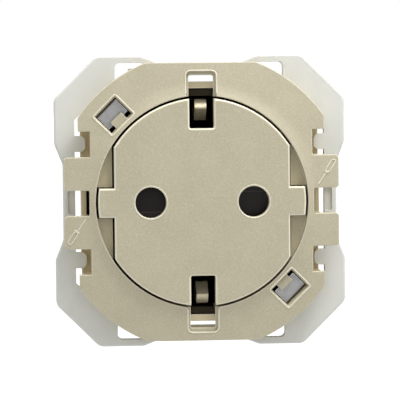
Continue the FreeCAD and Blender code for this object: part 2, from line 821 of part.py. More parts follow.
def shutter_retainer():
    """Back plate of the moving face: it traps the shutter, seats the springs and stops on the cover."""
    gap = retainer_edge_gap
    y0 = retainer_front_y
    y1 = retainer_back_y
    front = y0 - cut_past
    back = y1 + cut_past
    half = retainer_ear_width / 2
    plate = plate_outline(
        plate_radius - gap, plate_half_x - gap, half,
        clip_slot_width / 2 + gap, clip_slot_inner_z - gap, y0, y1,
    )
    ear = block(plate_radius - gap - fuse_depth, ear_x, y0, y1, -half, half)
    seat_radius = return_spring_radius - return_spring_wire / 2 - spring_seat_gap
    seat = rod(seat_radius, y1, y1 + spring_seat_height, return_spring_x, return_spring_z)
    plate = joined(plate, both_sides([ear]) + four_ways(seat))
    cuts = pin_pair(pin_passage_radius, front, back)
    cuts = cuts + at_retainer_screws(retainer_screw_radius + running_clearance, front, back)
    cuts = cuts + four_ways(countersink(y1, seat_clearance))
    cuts.append(rod(shutter_wire / 2 + shutter_leg_gap, front, back, shutter_spring_radius))
    return plate.cut(cuts)


def retainer_screws():
    """Four flush screws from the retainer into the plate's bosses."""
    back = retainer_back_y - seat_clearance
    tip = retainer_hole_y + screw_tip_gap
    shank = rod(retainer_screw_radius, tip, back - countersink_height / 2, retainer_screw_x, retainer_screw_z)
    screw = joined(shank, [countersink(back, 0)])
    drive_radius = retainer_screw_radius / 2
    drive_front = back - retainer_drive_depth
    drive = rod(drive_radius, drive_front, back + cut_past, retainer_screw_x, retainer_screw_z)
    return Part.makeCompound(four_ways(screw.cut(drive)))


def return_spring(x, z):
    """Coil spring that pushes the face plate forward."""
    wire_radius = return_spring_wire / 2
    start = retainer_back_y + wire_radius + spring_end_gap
    height = spring_floor_y - wire_radius - spring_end_gap - start
    return coil(return_spring_radius, wire_radius, height / return_spring_turns, height, start, x, z)


def contact_carrier():
    """Black insert: the well that the face slides into, spring pockets, clip arms and corner posts."""
    front = carrier_front_y - cut_past
    back = carrier_back_y + cut_past
    floor = octagon(carrier_half, carrier_diagonal, well_floor_y, carrier_back_y)
    well = rod(sleeve_radius, carrier_front_y, well_floor_y)
    pocket = rod(spring_pocket_outer, well_floor_y, spring_pocket_end_y, return_spring_x, return_spring_z)
    ear = rod(carrier_ear_radius, carrier_front_y, carrier_back_y, screw_diagonal)
    ears = [at_angle(ear, angle) for angle in screw_angles]
    post_half = latch_tongue_width / 2 + latch_post_wall
    post_inner = sleeve_radius - sleeve_wall / 2
    post_outer = latch_leg_inner - seat_clearance
    post = block(post_inner, post_outer, carrier_front_y, carrier_back_y, -post_half, post_half)
    posts = [at_angle(post, angle) for angle in latch_angles.values()]
    carrier = joined(floor, [well] + four_ways(pocket) + ears + posts)

    carrier = carrier.cut(rod(recess_radius + seat_clearance, front, well_floor_y))
    half = earth_arm_width / 2
    arm = block(-half, half, earth_arm_front_y, well_floor_y, arm_inner_z, arm_outer_z)
    carrier = joined(carrier, [guide_segments(carrier_front_y, well_floor_y)] + both_heights([arm]))

    floor_front = well_floor_y - cut_past
    bore = rod(spring_pocket_radius, floor_front, spring_floor_y, return_spring_x, return_spring_z)
    ear_slot = block(guide_half_x, carrier_half, front, well_floor_y, -ear_groove_half, ear_groove_half)
    clip_half = earth_strip_width / 2 + earth_clip_slot_gap
    clip_slot = block(
        -clip_half, clip_half, floor_front, back,
        clip_back_z - earth_strip - earth_clip_slot_gap, clip_back_z + earth_clip_slot_gap,
    )
    hole = rod(assembly_hole_radius, front, back, screw_diagonal)
    cuts = four_ways(bore) + pin_pair(pin_passage_radius, floor_front, back)
    cuts = cuts + both_sides([ear_slot]) + both_heights([clip_slot])
    cuts = cuts + [at_angle(hole, angle) for angle in screw_angles]
    return carrier.cut(cuts)


def earth_clip_upper():
    """Upper earth contact: a strip that runs up the recess wall, bows in and ends in a lead-in and a return."""
    half = earth_strip_width / 2
    root_y = contact_front_y + earth_strip / 2
    points = [
        (root_y, rivet_z - rivet_head_radius),
        (root_y, clip_mid_z),
        (clip_tip_y + earth_clip_bend_reach, clip_mid_z),
        (clip_tip_y + earth_clip_apex_reach, clip_apex_mid_z),
        (clip_ridge_y + earth_clip_lead_in, clip_apex_mid_z),
        (clip_ridge_y, clip_end_z - earth_clip_return),
        (clip_ridge_y + earth_clip_return_drop, clip_end_z),
    ]
    clip = strip(points, earth_strip, -half, half)
    hole = rod(rivet_radius + seat_clearance, contact_front_y - cut_past, bridge_front_y, 0, rivet_z)
    return clip.cut(hole)


def earth_bridge():
    """Flat strip behind the carrier that joins both earth clips to the earth terminal."""
    half = bridge_width / 2
    reach = clip_mid_z - bridge_end_gap
    bridge = block(-half, half, bridge_front_y, bridge_back_y, -reach, reach)
    bridge = bridge.makeFillet(bridge_corner, edges_along_y(bridge, lambda x, z: True))
    hole_radius = rivet_radius + seat_clearance
    hole = rod(hole_radius, bridge_front_y - cut_past, bridge_back_y + cut_past, 0, rivet_z)
    return bridge.cut(both_heights([hole]))


def earth_rivets():
    """Two rivets through the clips and the bridge."""
    head_front = bridge_back_y + seat_clearance
    shank = rod(rivet_radius, contact_front_y, head_front, 0, rivet_z)
    head = rod(rivet_head_radius, head_front, head_front + rivet_head_height, 0, rivet_z)
    return Part.makeCompound(both_heights([joined(shank, [head])]))


def pin_contact():
    """Neutral contact: a base with the pin hole, two leaves that grip the pin and an arm to its terminal."""
    base_half = contact_base_half
    leaf_half = contact_leaf_width / 2
    arm_half = contact_arm_width / 2
    base = block(contact_inner_x, contact_outer_x, contact_front_y, contact_back_y, -base_half, base_half)
    arm = block(pin_x, terminal_outer, contact_front_y, contact_back_y, -arm_half, arm_half)
    root_z = base_half - contact_leaf_strip / 2
    grip_z = pin_grip_gap / 2 + contact_leaf_strip / 2
    mouth_z = contact_mouth_gap / 2 + contact_leaf_strip / 2
    points = [
        ((contact_front_y + contact_back_y) / 2, root_z),
        (contact_back_y + contact_leaf_length * contact_grip_start, grip_z),
        (contact_back_y + contact_leaf_length * contact_grip_end, grip_z),
        (contact_back_y + contact_leaf_length, mouth_z),
    ]
    leaf = strip(points, contact_leaf_strip, pin_x - leaf_half, pin_x + leaf_half)
    contact = joined(base, [arm] + both_heights([leaf]))
    front = contact_front_y - cut_past
    hole = rod(contact_hole_radius, front, contact_back_y, pin_x)
    front_trim = block(contact_inner_x, contact_outer_x, front, contact_front_y, -base_half, base_half)
    return contact.cut([hole, front_trim])


def wire_positions():
    """Distances from the terminal's middle line to its two wire holes."""
    return (-wire_pitch / 2, wire_pitch / 2)


def terminal(front_y):
    """Brass terminal block along +X, with two wire holes and two clamp screw holes."""
    body = block(terminal_inner, terminal_outer, front_y, terminal_back_y, -terminal_half, terminal_half)
    body = body.makeChamfer(terminal_corner, edges_along_y(body, lambda x, z: True))
    start_x = terminal_outer + cut_past
    screw_radius = terminal_screw_radius + running_clearance
    hole_front_y = front_y + wire_hole_floor
    cuts = []
    for z in wire_positions():
        cuts.append(rod(wire_hole_radius, hole_front_y, terminal_back_y + cut_past, wire_hole_x, z))
        cuts.append(rod_inwards(screw_radius, start_x, terminal_screw_y, z, start_x - wire_hole_x))
    return body.cut(cuts)


def terminal_screw(z):
    """Slotted clamp screw along +X at one side of a terminal."""
    head_x = terminal_outer + seat_clearance + terminal_screw_head_height
    tip_x = wire_hole_x + wire_hole_radius - screw_tip_gap
    y = terminal_screw_y
    head = rod_inwards(terminal_screw_head, head_x, y, z, terminal_screw_head_height)
    head = head.makeFillet(terminal_head_round, outermost_edges(head.Edges, head_x))
    shank = rod_inwards(terminal_screw_radius, head_x, y, z, head_x - tip_x)
    half = screw_slot_width / 2
    reach = terminal_screw_head + cut_past
    slot = block(head_x - screw_slot_depth, head_x + cut_past, y - half, y + half, z - reach, z + reach)
    return joined(head, [shank]).cut(slot)


def terminal_screws():
    """Six clamp screws, two on each terminal."""
    screws = []
    for angle in terminal_angles.values():
        for z in wire_positions():
            screws.append(turned(terminal_screw(z), angle))
    return Part.makeCompound(screws)


def housing_shell():
    """Closed back shell with its screw columns and inner partitions."""
    shell = octagon(housing_half, housing_diagonal, carrier_front_y, housing_back_y)
    shell = shell.makeFillet(housing_edge_radius, edges_on_plane(shell, housing_back_y))
    front = carrier_front_y - cut_past
    shell = shell.cut(octagon(housing_inner_half, housing_inner_diagonal, front, housing_inner_y))
    root = housing_inner_y + fuse_depth
    column = rod(column_radius, contact_front_y, root, screw_diagonal)
    columns = [at_angle(column, angle) for angle in screw_angles]
    half = partition_height / 2
    wall_front = contact_back_y + partition_front_gap
    wall = block(partition_x - partition_wall, partition_x, wall_front, root, -half, half)
    return joined(shell, columns + both_sides([wall]))


def housing_grooves():
    """Shallow grip grooves along the top and bottom walls of the back shell."""
    half = housing_groove_width / 2
    front = carrier_front_y + housing_groove_inset
    back = housing_back_y - housing_groove_inset
    floor_z = housing_half - housing_groove_depth
    top_z = housing_half + cut_past
    grooves = []
    for share in housing_groove_shares:
        x = share * housing_half
        grooves = grooves + four_ways(block(x - half, x + half, front, back, floor_z, top_z))
    return grooves


def wire_funnel(x, z):
    """Lead-in for a wire in the back face of the shell."""
    radius = wire_entry_radius + wire_funnel_flare
    front = Vector(x, housing_back_y - wire_funnel_depth, z)
    return Part.makeCone(wire_entry_radius, radius, wire_funnel_depth, front, Vector(0, 1, 0))


def rear_housing():
    """Black back shell with wire entries, screw openings and bores for the assembly screws."""
    back = housing_back_y + cut_past
    cuts = housing_grooves()
    for angle in terminal_angles.values():
        for z in wire_positions():
            entry = rod(wire_entry_radius, housing_inner_y - cut_past, back, wire_hole_x, z)
            start_x = housing_half + cut_past
            length = start_x - terminal_outer
            opening_radius = terminal_screw_head + screw_opening_gap
            opening = rod_inwards(opening_radius, start_x, terminal_screw_y, z, length)
            funnel = wire_funnel(wire_hole_x, z)
            cuts = cuts + [turned(entry, angle), turned(funnel, angle), turned(opening, angle)]
    bore = rod(assembly_bore_radius, assembly_seat_y, back, screw_diagonal)
    hole = rod(assembly_hole_radius, carrier_back_y, back, screw_diagonal)
    for angle in screw_angles:
        cuts = cuts + [at_angle(bore, angle), at_angle(hole, angle)]
    return housing_shell().cut(cuts)


def assembly_screws():
    """Two long screws from the housing through the carrier into the cover."""
    tip = flange_back_y + assembly_hole_floor + screw_tip_gap
    head_front = assembly_seat_y + seat_clearance
    head_back = head_front + assembly_head_height
    shank = rod(assembly_screw_radius, tip, head_front, screw_diagonal)
    head = rod(assembly_head_radius, head_front, head_back, screw_diagonal)
    drive_front = head_back - assembly_drive_depth
    drive = rod(assembly_drive_radius, drive_front, head_back + cut_past, screw_diagonal)
    screw = joined(shank, [head]).cut(drive)
    return Part.makeCompound([at_angle(screw, angle) for angle in screw_angles])


def latch_plate():
    """Steel angle along +X: a tongue under the cover's hook and a leg down the carrier's post."""
    half = latch_tongue_width / 2
    front = latch_tongue_front_y
    tongue = block(latch_hook_end - latch_overlap, latch_leg_outer, front, front + latch_steel, -half, half)
    leg = block(latch_leg_inner, latch_leg_outer, front, front + latch_leg_length, -half, half)
    angle = joined(tongue, [leg])
    bend = outermost_edges(edges_on_plane(angle, front), latch_leg_outer)
    return angle.makeFillet(latch_steel / 2, bend)


def build():
    """Every sub-part by name."""
    parts = {
        "mounting_frame": mounting_frame(),
        "front_cover": front_cover(),
        "face_plate": face_plate(),
        "shutter_rotor": shutter_rotor(),
        "shutter_spring": shutter_spring(),
        "shutter_retainer": shutter_retainer(),
        "retainer_screws": retainer_screws(),
        "contact_carrier": contact_carrier(),
        "earth_clip_upper": earth_clip_upper(),
        "earth_clip_lower": mirrored(earth_clip_upper(), Vector(0, 0, 1)),
        "earth_bridge": earth_bridge(),
        "earth_rivets": earth_rivets(),
        "neutral_contact": pin_contact(),
        "line_contact": turned(pin_contact(), 180),
        "terminal_screws": terminal_screws(),
        "rear_housing": rear_housing(),
        "assembly_screws": assembly_screws(),
    }
    blocks_start_y = {"neutral": contact_back_y, "line": contact_back_y, "earth": bridge_back_y}
    for name, angle in terminal_angles.items():
        parts[name + "_terminal"] = turned(terminal(blocks_start_y[name] + terminal_seat_gap), angle)
    for name, angle in latch_angles.items():
        parts["latch_plate_" + name] = at_angle(latch_plate(), angle)
    for height, z in {"upper": return_spring_z, "lower": -return_spring_z}.items():
        for side, x in {"right": return_spring_x, "left": -return_spring_x}.items():
            parts["return_spring_" + height + "_" + side] = return_spring(x, z)
    return parts


os.makedirs("parts", exist_ok=True)
for node, shape in build().items():
    print(node, shape.ShapeType, len(shape.Solids), shape.isValid(), round(shape.Volume, 2))
    shape.exportStep("parts/" + node + ".step")
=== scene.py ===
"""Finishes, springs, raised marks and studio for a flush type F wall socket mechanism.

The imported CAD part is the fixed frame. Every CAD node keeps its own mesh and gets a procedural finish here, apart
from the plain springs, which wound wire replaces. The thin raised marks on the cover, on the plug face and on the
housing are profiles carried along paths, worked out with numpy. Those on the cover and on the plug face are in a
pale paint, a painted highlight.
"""

import json
import logging
import math
from dataclasses import dataclass, field, replace
from enum import Enum

import bmesh
import bpy
import numpy as np
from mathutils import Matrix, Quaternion, Vector

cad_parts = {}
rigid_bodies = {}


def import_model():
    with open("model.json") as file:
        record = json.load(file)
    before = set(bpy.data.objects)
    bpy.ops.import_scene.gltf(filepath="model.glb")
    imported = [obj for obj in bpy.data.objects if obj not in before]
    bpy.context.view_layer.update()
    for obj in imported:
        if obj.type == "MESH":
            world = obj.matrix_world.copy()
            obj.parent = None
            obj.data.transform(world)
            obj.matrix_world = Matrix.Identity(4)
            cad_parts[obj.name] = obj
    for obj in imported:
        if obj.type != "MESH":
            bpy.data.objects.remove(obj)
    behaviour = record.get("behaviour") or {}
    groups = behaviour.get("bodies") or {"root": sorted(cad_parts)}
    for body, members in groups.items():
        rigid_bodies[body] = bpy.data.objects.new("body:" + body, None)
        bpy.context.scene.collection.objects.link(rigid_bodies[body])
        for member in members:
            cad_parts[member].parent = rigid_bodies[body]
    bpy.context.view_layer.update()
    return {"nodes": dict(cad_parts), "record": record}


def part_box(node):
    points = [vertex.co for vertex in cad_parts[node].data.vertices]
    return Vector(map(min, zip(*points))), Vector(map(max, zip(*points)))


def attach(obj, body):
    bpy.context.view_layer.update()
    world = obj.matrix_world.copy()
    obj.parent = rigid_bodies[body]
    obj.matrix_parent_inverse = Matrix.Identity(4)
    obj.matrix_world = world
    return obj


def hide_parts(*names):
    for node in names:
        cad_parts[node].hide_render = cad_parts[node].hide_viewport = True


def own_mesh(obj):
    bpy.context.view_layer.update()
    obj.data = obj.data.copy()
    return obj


LOG = logging.getLogger("wall_socket")
MM = 0.001
FULL_TURN = 2.0 * math.pi

Pair = tuple[float, float]
Triple = tuple[float, float, float]
Colour = Triple
Shape = tuple[np.ndarray, list[list[int]]]
Socket = bpy.types.NodeSocket

# Bands of fractal noise that are spread over a pattern's full range: a soft one and one with more contrast.
SOFT_BAND: Pair = (0.3, 0.7)
HARD_BAND: Pair = (0.35, 0.65)
# Octaves of fractal noise in a plain pattern, in a rougher one and in a fine one.
PLAIN_OCTAVES = 2.0
ROUGH_OCTAVES = 3.0
FINE_OCTAVES = 4.0


class Body(Enum):
    """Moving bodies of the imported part."""

    FIXED = "socket_body"
    FACE = "moving_face"
    SHUTTER = "shutter"


class Slot(Enum):
    """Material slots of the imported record."""

    CHAMPAGNE = "champagne"
    OFFWHITE = "offwhite"
    BLACK = "black"
    SHUTTER = "shutter_black"
    ZINC = "zinc_steel"
    NICKEL = "nickel"
    BRASS = "contact_brass"
    SPRING = "spring_steel"
    SCREW = "screw_steel"


def srgb(red: int, green: int, blue: int) -> Colour:
    """Turns a colour on the 0 to 255 screen scale into Blender's linear scale.

    Args:
        red: Red, 0 to 255.
        green: Green, 0 to 255.
        blue: Blue, 0 to 255.

    Returns:
        The three linear values, by the usual two-part gamma curve.
    """
    values = np.array([red, green, blue]) / 255.0
    linear = np.where(values <= 0.04045, values / 12.92, ((values + 0.055) / 1.055) ** 2.4)
    return tuple(float(v) for v in linear)


def shaded(colour: Colour, share: float) -> Colour:
    """A share of a linear colour."""
    return tuple(share * value for value in colour)


def grey(level: float) -> tuple[float, float, float, float]:
    """Opaque grey of a linear level, white at 1."""
    return level, level, level, 1.0


class Tree:
    """Lays out the shader nodes of a material or of the world."""

    # The Mix node's sockets for each type of data: share, first, second and result.
    MIX_SOCKETS = {"RGBA": (0, 6, 7, 2), "VECTOR": (0, 4, 5, 1)}

    def __init__(self, owner: bpy.types.Material | bpy.types.World) -> None:
        """Starts an empty node tree.

        Args:
            owner: The material or world that the nodes are for.
        """
        owner.use_nodes = True
        self.tree = owner.node_tree
        self.tree.nodes.clear()

    def fill(self, target: Socket, value: object) -> None:
        """Links an output socket to an input, or sets the input to a plain value.

        Args:
            target: The input.
            value: Output socket, number, colour or vector.
        """
        if isinstance(value, Socket):
            self.tree.links.new(value, target)
        else:
            target.default_value = value

    def node(
        self, kind: str, inputs: dict[str | int, object] | None = None, **settings: object,
    ) -> bpy.types.Node:
        """Adds a node, sets its properties, and fills or links its inputs.

        Args:
            kind: Node type.
            inputs: Input name or number to a value or an output socket.
            **settings: Properties of the node.

        Returns:
            The new node.
        """
        made = self.tree.nodes.new(kind)
        for key, value in settings.items():
            setattr(made, key, value)
        for key, value in (inputs or {}).items():
            self.fill(made.inputs[key], value)
        return made

    def calc(self, operation: str, first: Socket | float, second: Socket | float) -> Socket:
        """One arithmetic step between two values."""
        return self.node("ShaderNodeMath", {0: first, 1: second}, operation=operation).outputs[0]

    def span(self, value: Socket, band: Pair, to_low: float = 0.0, to_high: float = 1.0) -> Socket:
        """Maps a band of values to another range, clamped."""
        inputs = {"Value": value, "From Min": band[0], "From Max": band[1], "To Min": to_low, "To Max": to_high}
        return self.node("ShaderNodeMapRange", inputs).outputs["Result"]

    def mix(self, data_type: str, share: Socket | float, first: object, second: object) -> Socket:
        """Mixes two values of one type of data.

        Args:
            data_type: RGBA or VECTOR.
            share: Share of the second value.
            first: Value at 0.
            second: Value at 1.

        Returns:
            The mixed value.
        """
        share_in, first_in, second_in, result = self.MIX_SOCKETS[data_type]
        inputs = {share_in: share, first_in: first, second_in: second}
        return self.node("ShaderNodeMix", inputs, data_type=data_type).outputs[result]

    def mix_shaders(self, share: Socket | float, first: Socket, second: Socket) -> Socket:
        """Mixes two shaders by the share of the second."""
        return self.node("ShaderNodeMixShader", {0: share, 1: first, 2: second}).outputs[0]

    def seen_share(self) -> Socket:
        """Finds the rays that show a surface to the camera, straight or by way of gloss and glass.

        Returns:
            A share of 1 on camera, glossy and transmission rays and of 0 on the rest.
        """
        path = self.node("ShaderNodeLightPath").outputs
        seen = self.calc("MAXIMUM", path["Is Camera Ray"], path["Is Glossy Ray"])
        return self.calc("MAXIMUM", seen, path["Is Transmission Ray"])

    def end(self, kind: str, surface: Socket) -> None:
        """Adds the output node and links a shader to its surface."""
        self.node(kind, {"Surface": surface})


class Graph(Tree):
    """Lays out one material of the part round a principled shader."""

    BEVEL_SAMPLES = 8
    # Bands of a cosine that are mapped to 0 to 1. An edge shows as its rounded normal leans from the shaded one.
    EDGE_LEAN: Pair = (0.992, 0.89)
    # A face counts as flat where its true normal points straight forwards or back.
    FLAT_FACING: Pair = (0.999, 0.9999)
    # A moulded edge begins where the surface turns from the front and ends before it faces sideways.
    EASED_START: Pair = (0.995, 0.93)
    EASED_END: Pair = (0.15, 0.4)

    def __init__(self, name: str) -> None:
        """Starts the material.

        Args:
            name: Name of the material.
        """
        self.material = bpy.data.materials.new(name)
        super().__init__(self.material)
        self.shader = self.node("ShaderNodeBsdfPrincipled")
        self.end("ShaderNodeOutputMaterial", self.shader.outputs["BSDF"])
        coordinates = self.node("ShaderNodeTexCoord").outputs
        self.place = coordinates["Object"]
        self.facing = coordinates["Normal"]

    def feed(self, name: str, value: Socket | float) -> None:
        """Fills an input of the principled shader."""
        self.fill(self.shader.inputs[name], value)

    def stretched(self, scale: Triple) -> Socket:
        """Object coordinates stretched along each axis."""
        return self.node("ShaderNodeMapping", {"Vector": self.place, "Scale": scale}).outputs["Vector"]

    def noise(self, grain_mm: float, octaves: float = PLAIN_OCTAVES, place: Socket | None = None) -> Socket:
        """Fractal noise.

        Args:
            grain_mm: Size of one blotch in millimetres.
            octaves: Layers of ever finer noise.
            place: Coordinates, or the object's own where left out.

        Returns:
            The noise value, about 0 to 1.
        """
        inputs = {"Vector": place or self.place, "Scale": 1.0 / (grain_mm * MM), "Detail": octaves}
        return self.node("ShaderNodeTexNoise", inputs).outputs["Fac"]

    def flakes(self, size_mm: float, band: Pair) -> Socket:
        """Scattered flakes: cells with a random value, of which only the highest ones show.

        Args:
            size_mm: Size of one cell in millimetres.
            band: Cell values where a flake begins to show and where it shows fully.

        Returns:
            A mask of 0 to 1.
        """
        cells = self.node("ShaderNodeTexVoronoi", {"Vector": self.place, "Scale": 1.0 / (size_mm * MM)})
        value = self.node("ShaderNodeSeparateColor", {"Color": cells.outputs["Color"]}).outputs["Red"]
        return self.span(value, band)

    def blend(self, share: Socket | float, first: Colour | Socket, second: Colour | Socket) -> Socket:
        """Mixes two colours.

        Args:
            share: Share of the second colour.
            first: Colour at 0.
            second: Colour at 1.

        Returns:
            The mixed colour.
        """
        ends = [value if isinstance(value, Socket) else (*value, 1.0) for value in (first, second)]
        return self.mix("RGBA", share, *ends)

    def cloudy(self, colour: Colour, size_mm: float, band: Pair, share: float) -> Socket:
        """A colour with slow, faint clouds.

        Args:
            colour: The colour where it is lightest.
            size_mm: Size of one cloud in millimetres.
            band: Band of the noise that runs from dark to light.
            share: Share of the colour that is left where it is darkest.

        Returns:
            The clouded colour.
        """
        return self.blend(self.span(self.noise(size_mm, ROUGH_OCTAVES), band), shaded(colour, share), colour)

    def rounded(self, radius_mm: float) -> Socket:
        """Normal of the surface with its edges rounded by a radius."""
        inputs = {"Radius": radius_mm * MM}
        return self.node("ShaderNodeBevel", inputs, samples=self.BEVEL_SAMPLES).outputs["Normal"]

    def edges(self, rounded: Socket) -> Socket:
        """Share of edge at a point: how far the rounded normal leans away from the shaded one.

        Args:
            rounded: Normal with rounded edges.

        Returns:
            0 on flats and up to 1 on edges.
        """
        plain = self.node("ShaderNodeNewGeometry").outputs["Normal"]
        lean = self.node("ShaderNodeVectorMath", {0: rounded, 1: plain}, operation="DOT_PRODUCT").outputs["Value"]
        return self.span(lean, self.EDGE_LEAN)

    def facing_front(self, normal: Socket) -> Socket:
        """How far a normal points along the part's depth, 0 to 1, forwards or back."""
        depth = self.node("ShaderNodeSeparateXYZ", {"Vector": normal}).outputs["Y"]
        return self.calc("ABSOLUTE", depth, 0.0)

    def settled(self, rounded: Socket, edge: Socket) -> Socket:
        """Normal that is rounded at the edges and true on flat faces that look straight forwards or back.

        Args:
            rounded: Normal with rounded edges.
            edge: Share of edge.

        Returns:
            The mixed normal: the true one by the share of flatness that is left beside the edge.
        """
        true = self.node("ShaderNodeNewGeometry").outputs["True Normal"]
        flat = self.span(self.facing_front(true), self.FLAT_FACING)
        share = self.calc("MULTIPLY", flat, self.calc("SUBTRACT", 1.0, edge))
        return self.mix("VECTOR", share, rounded, true)

    def eased_edges(self) -> Socket:
        """Share of edge on a moulding whose edges are truly rounded.

        Returns:
            1 where the surface turns from facing the front to facing sideways, 0 on the front and on the sides.
        """
        front = self.facing_front(self.facing)
        return self.calc("MULTIPLY", self.span(front, self.EASED_START), self.span(front, self.EASED_END))

    def bump(self, height: Socket, depth_mm: float, normal: Socket | None = None) -> Socket:
        """Bumped normal.

        Args:
            height: Height pattern, 0 to 1.
            depth_mm: Depth of the pattern in millimetres.
            normal: Normal to start from, if not the surface's own.

        Returns:
            The bumped normal.
        """
        inputs = {"Height": height, "Distance": depth_mm * MM, "Strength": 1.0}
        if normal is not None:
            inputs["Normal"] = normal
        return self.node("ShaderNodeBump", inputs).outputs["Normal"]

    def gloss(self, pattern: Socket, roughness: float, below: float, above: float) -> None:
        """Feeds the shader a roughness that follows a pattern.

        Args:
            pattern: Noise value.
            roughness: Roughness at the middle.
            below: How far it falls at the low end of the pattern.
            above: How far it rises at the high end.
        """
        self.feed("Roughness", self.span(pattern, SOFT_BAND, roughness - below, roughness + above))


@dataclass(frozen=True)
class Finish:
    """A surface finish that can build its own material."""

    name: str
    colour: Colour
    roughness: float

    def build(self) -> bpy.types.Material:
        """Builds the material."""
        raise NotImplementedError


@dataclass(frozen=True)
class MetallicPaint(Finish):
    """Satin paint with fine metal flakes over moulded plastic, with a painted highlight along its edges.

    Where a recess colour is given, the colour fades into it between two depths: painted bounce light in the
    recesses.
    """

    edge_highlight: Colour
    flake_colour: Colour
    dark_flake: Colour
    recess_light_colour: Colour | None = None
    recess_light_depths_mm: Pair = (-6.7, -5.0)
    eased: bool = False
    edge_radius_mm: float = 0.32
    edge_highlight_share: float = 0.85
    cloud_mm: float = 5.0
    cloud_share: float = 0.93
    grain_mm: float = 0.17
    grain_share: float = 0.3
    flake_mm: float = 0.09
    flake_band: Pair = (0.84, 0.99)
    flake_share: float = 0.42
    gloss_mm: float = 0.3
    gloss_swing: float = 0.06
    peel_mm: float = 0.35
    peel_depth_mm: float = 0.006
    specular: float = 0.3

    def build(self) -> bpy.types.Material:
        """Builds it: slow tone, dark and light flakes, painted bounce light inside, painted edge highlights, orange
        peel.

        Returns:
            The finished material.
        """
        graph = Graph(self.name)
        tone = graph.cloudy(self.colour, self.cloud_mm, SOFT_BAND, self.cloud_share)
        grain = graph.span(graph.noise(self.grain_mm, ROUGH_OCTAVES), HARD_BAND, 0.0, self.grain_share)
        tone = graph.blend(grain, tone, self.dark_flake)
        light = graph.calc("MULTIPLY", graph.flakes(self.flake_mm, self.flake_band), self.flake_share)
        tone = graph.blend(light, tone, self.flake_colour)
        # Painted bounce light: behind the front the colour turns lighter and warmer, lightening the shaded
        # recesses.
        if self.recess_light_colour is not None:
            depth = graph.node("ShaderNodeSeparateXYZ", {"Vector": graph.place}).outputs["Y"]
            start, end = self.recess_light_depths_mm
            tone = graph.blend(graph.span(depth, (start * MM, end * MM)), tone, self.recess_light_colour)
        round_normal = graph.rounded(self.edge_radius_mm)
        edge = graph.edges(round_normal)
        base_normal = graph.settled(round_normal, edge)
        # Eased edges add the truly rounded moulded edges to the painted highlight.
        if self.eased:
            edge = graph.calc("MAXIMUM", edge, graph.eased_edges())
        # Painted highlight: the edge mask lays a pale colour along the edges, where rounded edges would catch the
        # light.
        edge = graph.calc("MULTIPLY", edge, self.edge_highlight_share)
        graph.feed("Base Color", graph.blend(edge, tone, self.edge_highlight))
        graph.gloss(graph.noise(self.gloss_mm), self.roughness, self.gloss_swing, self.gloss_swing)
        peel = graph.noise(self.peel_mm, ROUGH_OCTAVES)
        graph.feed("Normal", graph.bump(peel, self.peel_depth_mm, base_normal))
        graph.feed("Specular IOR Level", self.specular)
        return graph.material


@dataclass(frozen=True)
class MouldedPlastic(Finish):
    """Injection-moulded plastic with a fine spark-eroded grain."""

    specular: float
    edge_highlight: Colour | None = None
    edge_radius_mm: float = 0.15
    edge_highlight_share: float = 0.6
    cloud_mm: float = 7.0
    cloud_share: float = 0.94
    grain_mm: float = 0.12
    grain_depth_mm: float = 0.004
    gloss_swing: float = 0.05

    def build(self) -> bpy.types.Material:
        """Builds the material: slight cloudiness, eroded grain, softened edges and any painted edge highlight.

        Returns:
            The finished material.
        """
        graph = Graph(self.name)
        tone = graph.cloudy(self.colour, self.cloud_mm, HARD_BAND, self.cloud_share)
        round_normal = graph.rounded(self.edge_radius_mm)
        edge = graph.edges(round_normal)
        # Painted highlight along the edges, where an edge colour is given.
        if self.edge_highlight is not None:
            tone = graph.blend(graph.calc("MULTIPLY", edge, self.edge_highlight_share), tone, self.edge_highlight)
        graph.feed("Base Color", tone)
        grain = graph.noise(self.grain_mm)
        graph.gloss(grain, self.roughness, self.gloss_swing, self.gloss_swing)
        graph.feed("Normal", graph.bump(grain, self.grain_depth_mm, graph.settled(round_normal, edge)))
        graph.feed("Specular IOR Level", self.specular)
        return graph.material


@dataclass(frozen=True)
class SheetMetal(Finish):
    """Rolled or plated metal: fine lines along one direction, faint stains and a painted highlight on its edges.

    The grain stretches the coordinates, so its largest value lies across the lines. Where sharp is set, the edges
    carry the painted highlight but are not rounded.
    """

    stain: Colour
    edge_highlight: Colour
    grain: Triple = (1.0, 1.0, 14.0)
    edge_radius_mm: float = 0.1
    edge_highlight_share: float = 0.7
    sharp: bool = False
    metallic: float = 1.0
    line_mm: float = 1.2
    line_colour_share: float = 0.8
    line_share: float = 0.25
    line_depth_mm: float = 0.003
    stain_mm: float = 1.6
    stain_band: Pair = (0.45, 0.75)
    stain_share: float = 0.5
    gloss_swing: Pair = (0.07, 0.09)

    def build(self) -> bpy.types.Material:
        """Builds the material: rolling lines stretched across the grain, stains and painted edge highlights.

        Returns:
            The finished material.
        """
        graph = Graph(self.name)
        lines = graph.noise(self.line_mm, FINE_OCTAVES, graph.stretched(self.grain))
        stains = graph.noise(self.stain_mm, FINE_OCTAVES)
        stains = graph.span(stains, self.stain_band, 0.0, self.stain_share)
        tone = graph.blend(stains, self.colour, self.stain)
        dark = shaded(self.colour, self.line_colour_share)
        tone = graph.blend(graph.span(lines, HARD_BAND, 0.0, self.line_share), tone, dark)
        round_normal = graph.rounded(self.edge_radius_mm)
        # Painted highlight along the edges.
        edge = graph.calc("MULTIPLY", graph.edges(round_normal), self.edge_highlight_share)
        graph.feed("Base Color", graph.blend(edge, tone, self.edge_highlight))
        graph.gloss(lines, self.roughness, *self.gloss_swing)
        graph.feed("Normal", graph.bump(lines, self.line_depth_mm, None if self.sharp else round_normal))
        graph.feed("Metallic", self.metallic)
        return graph.material


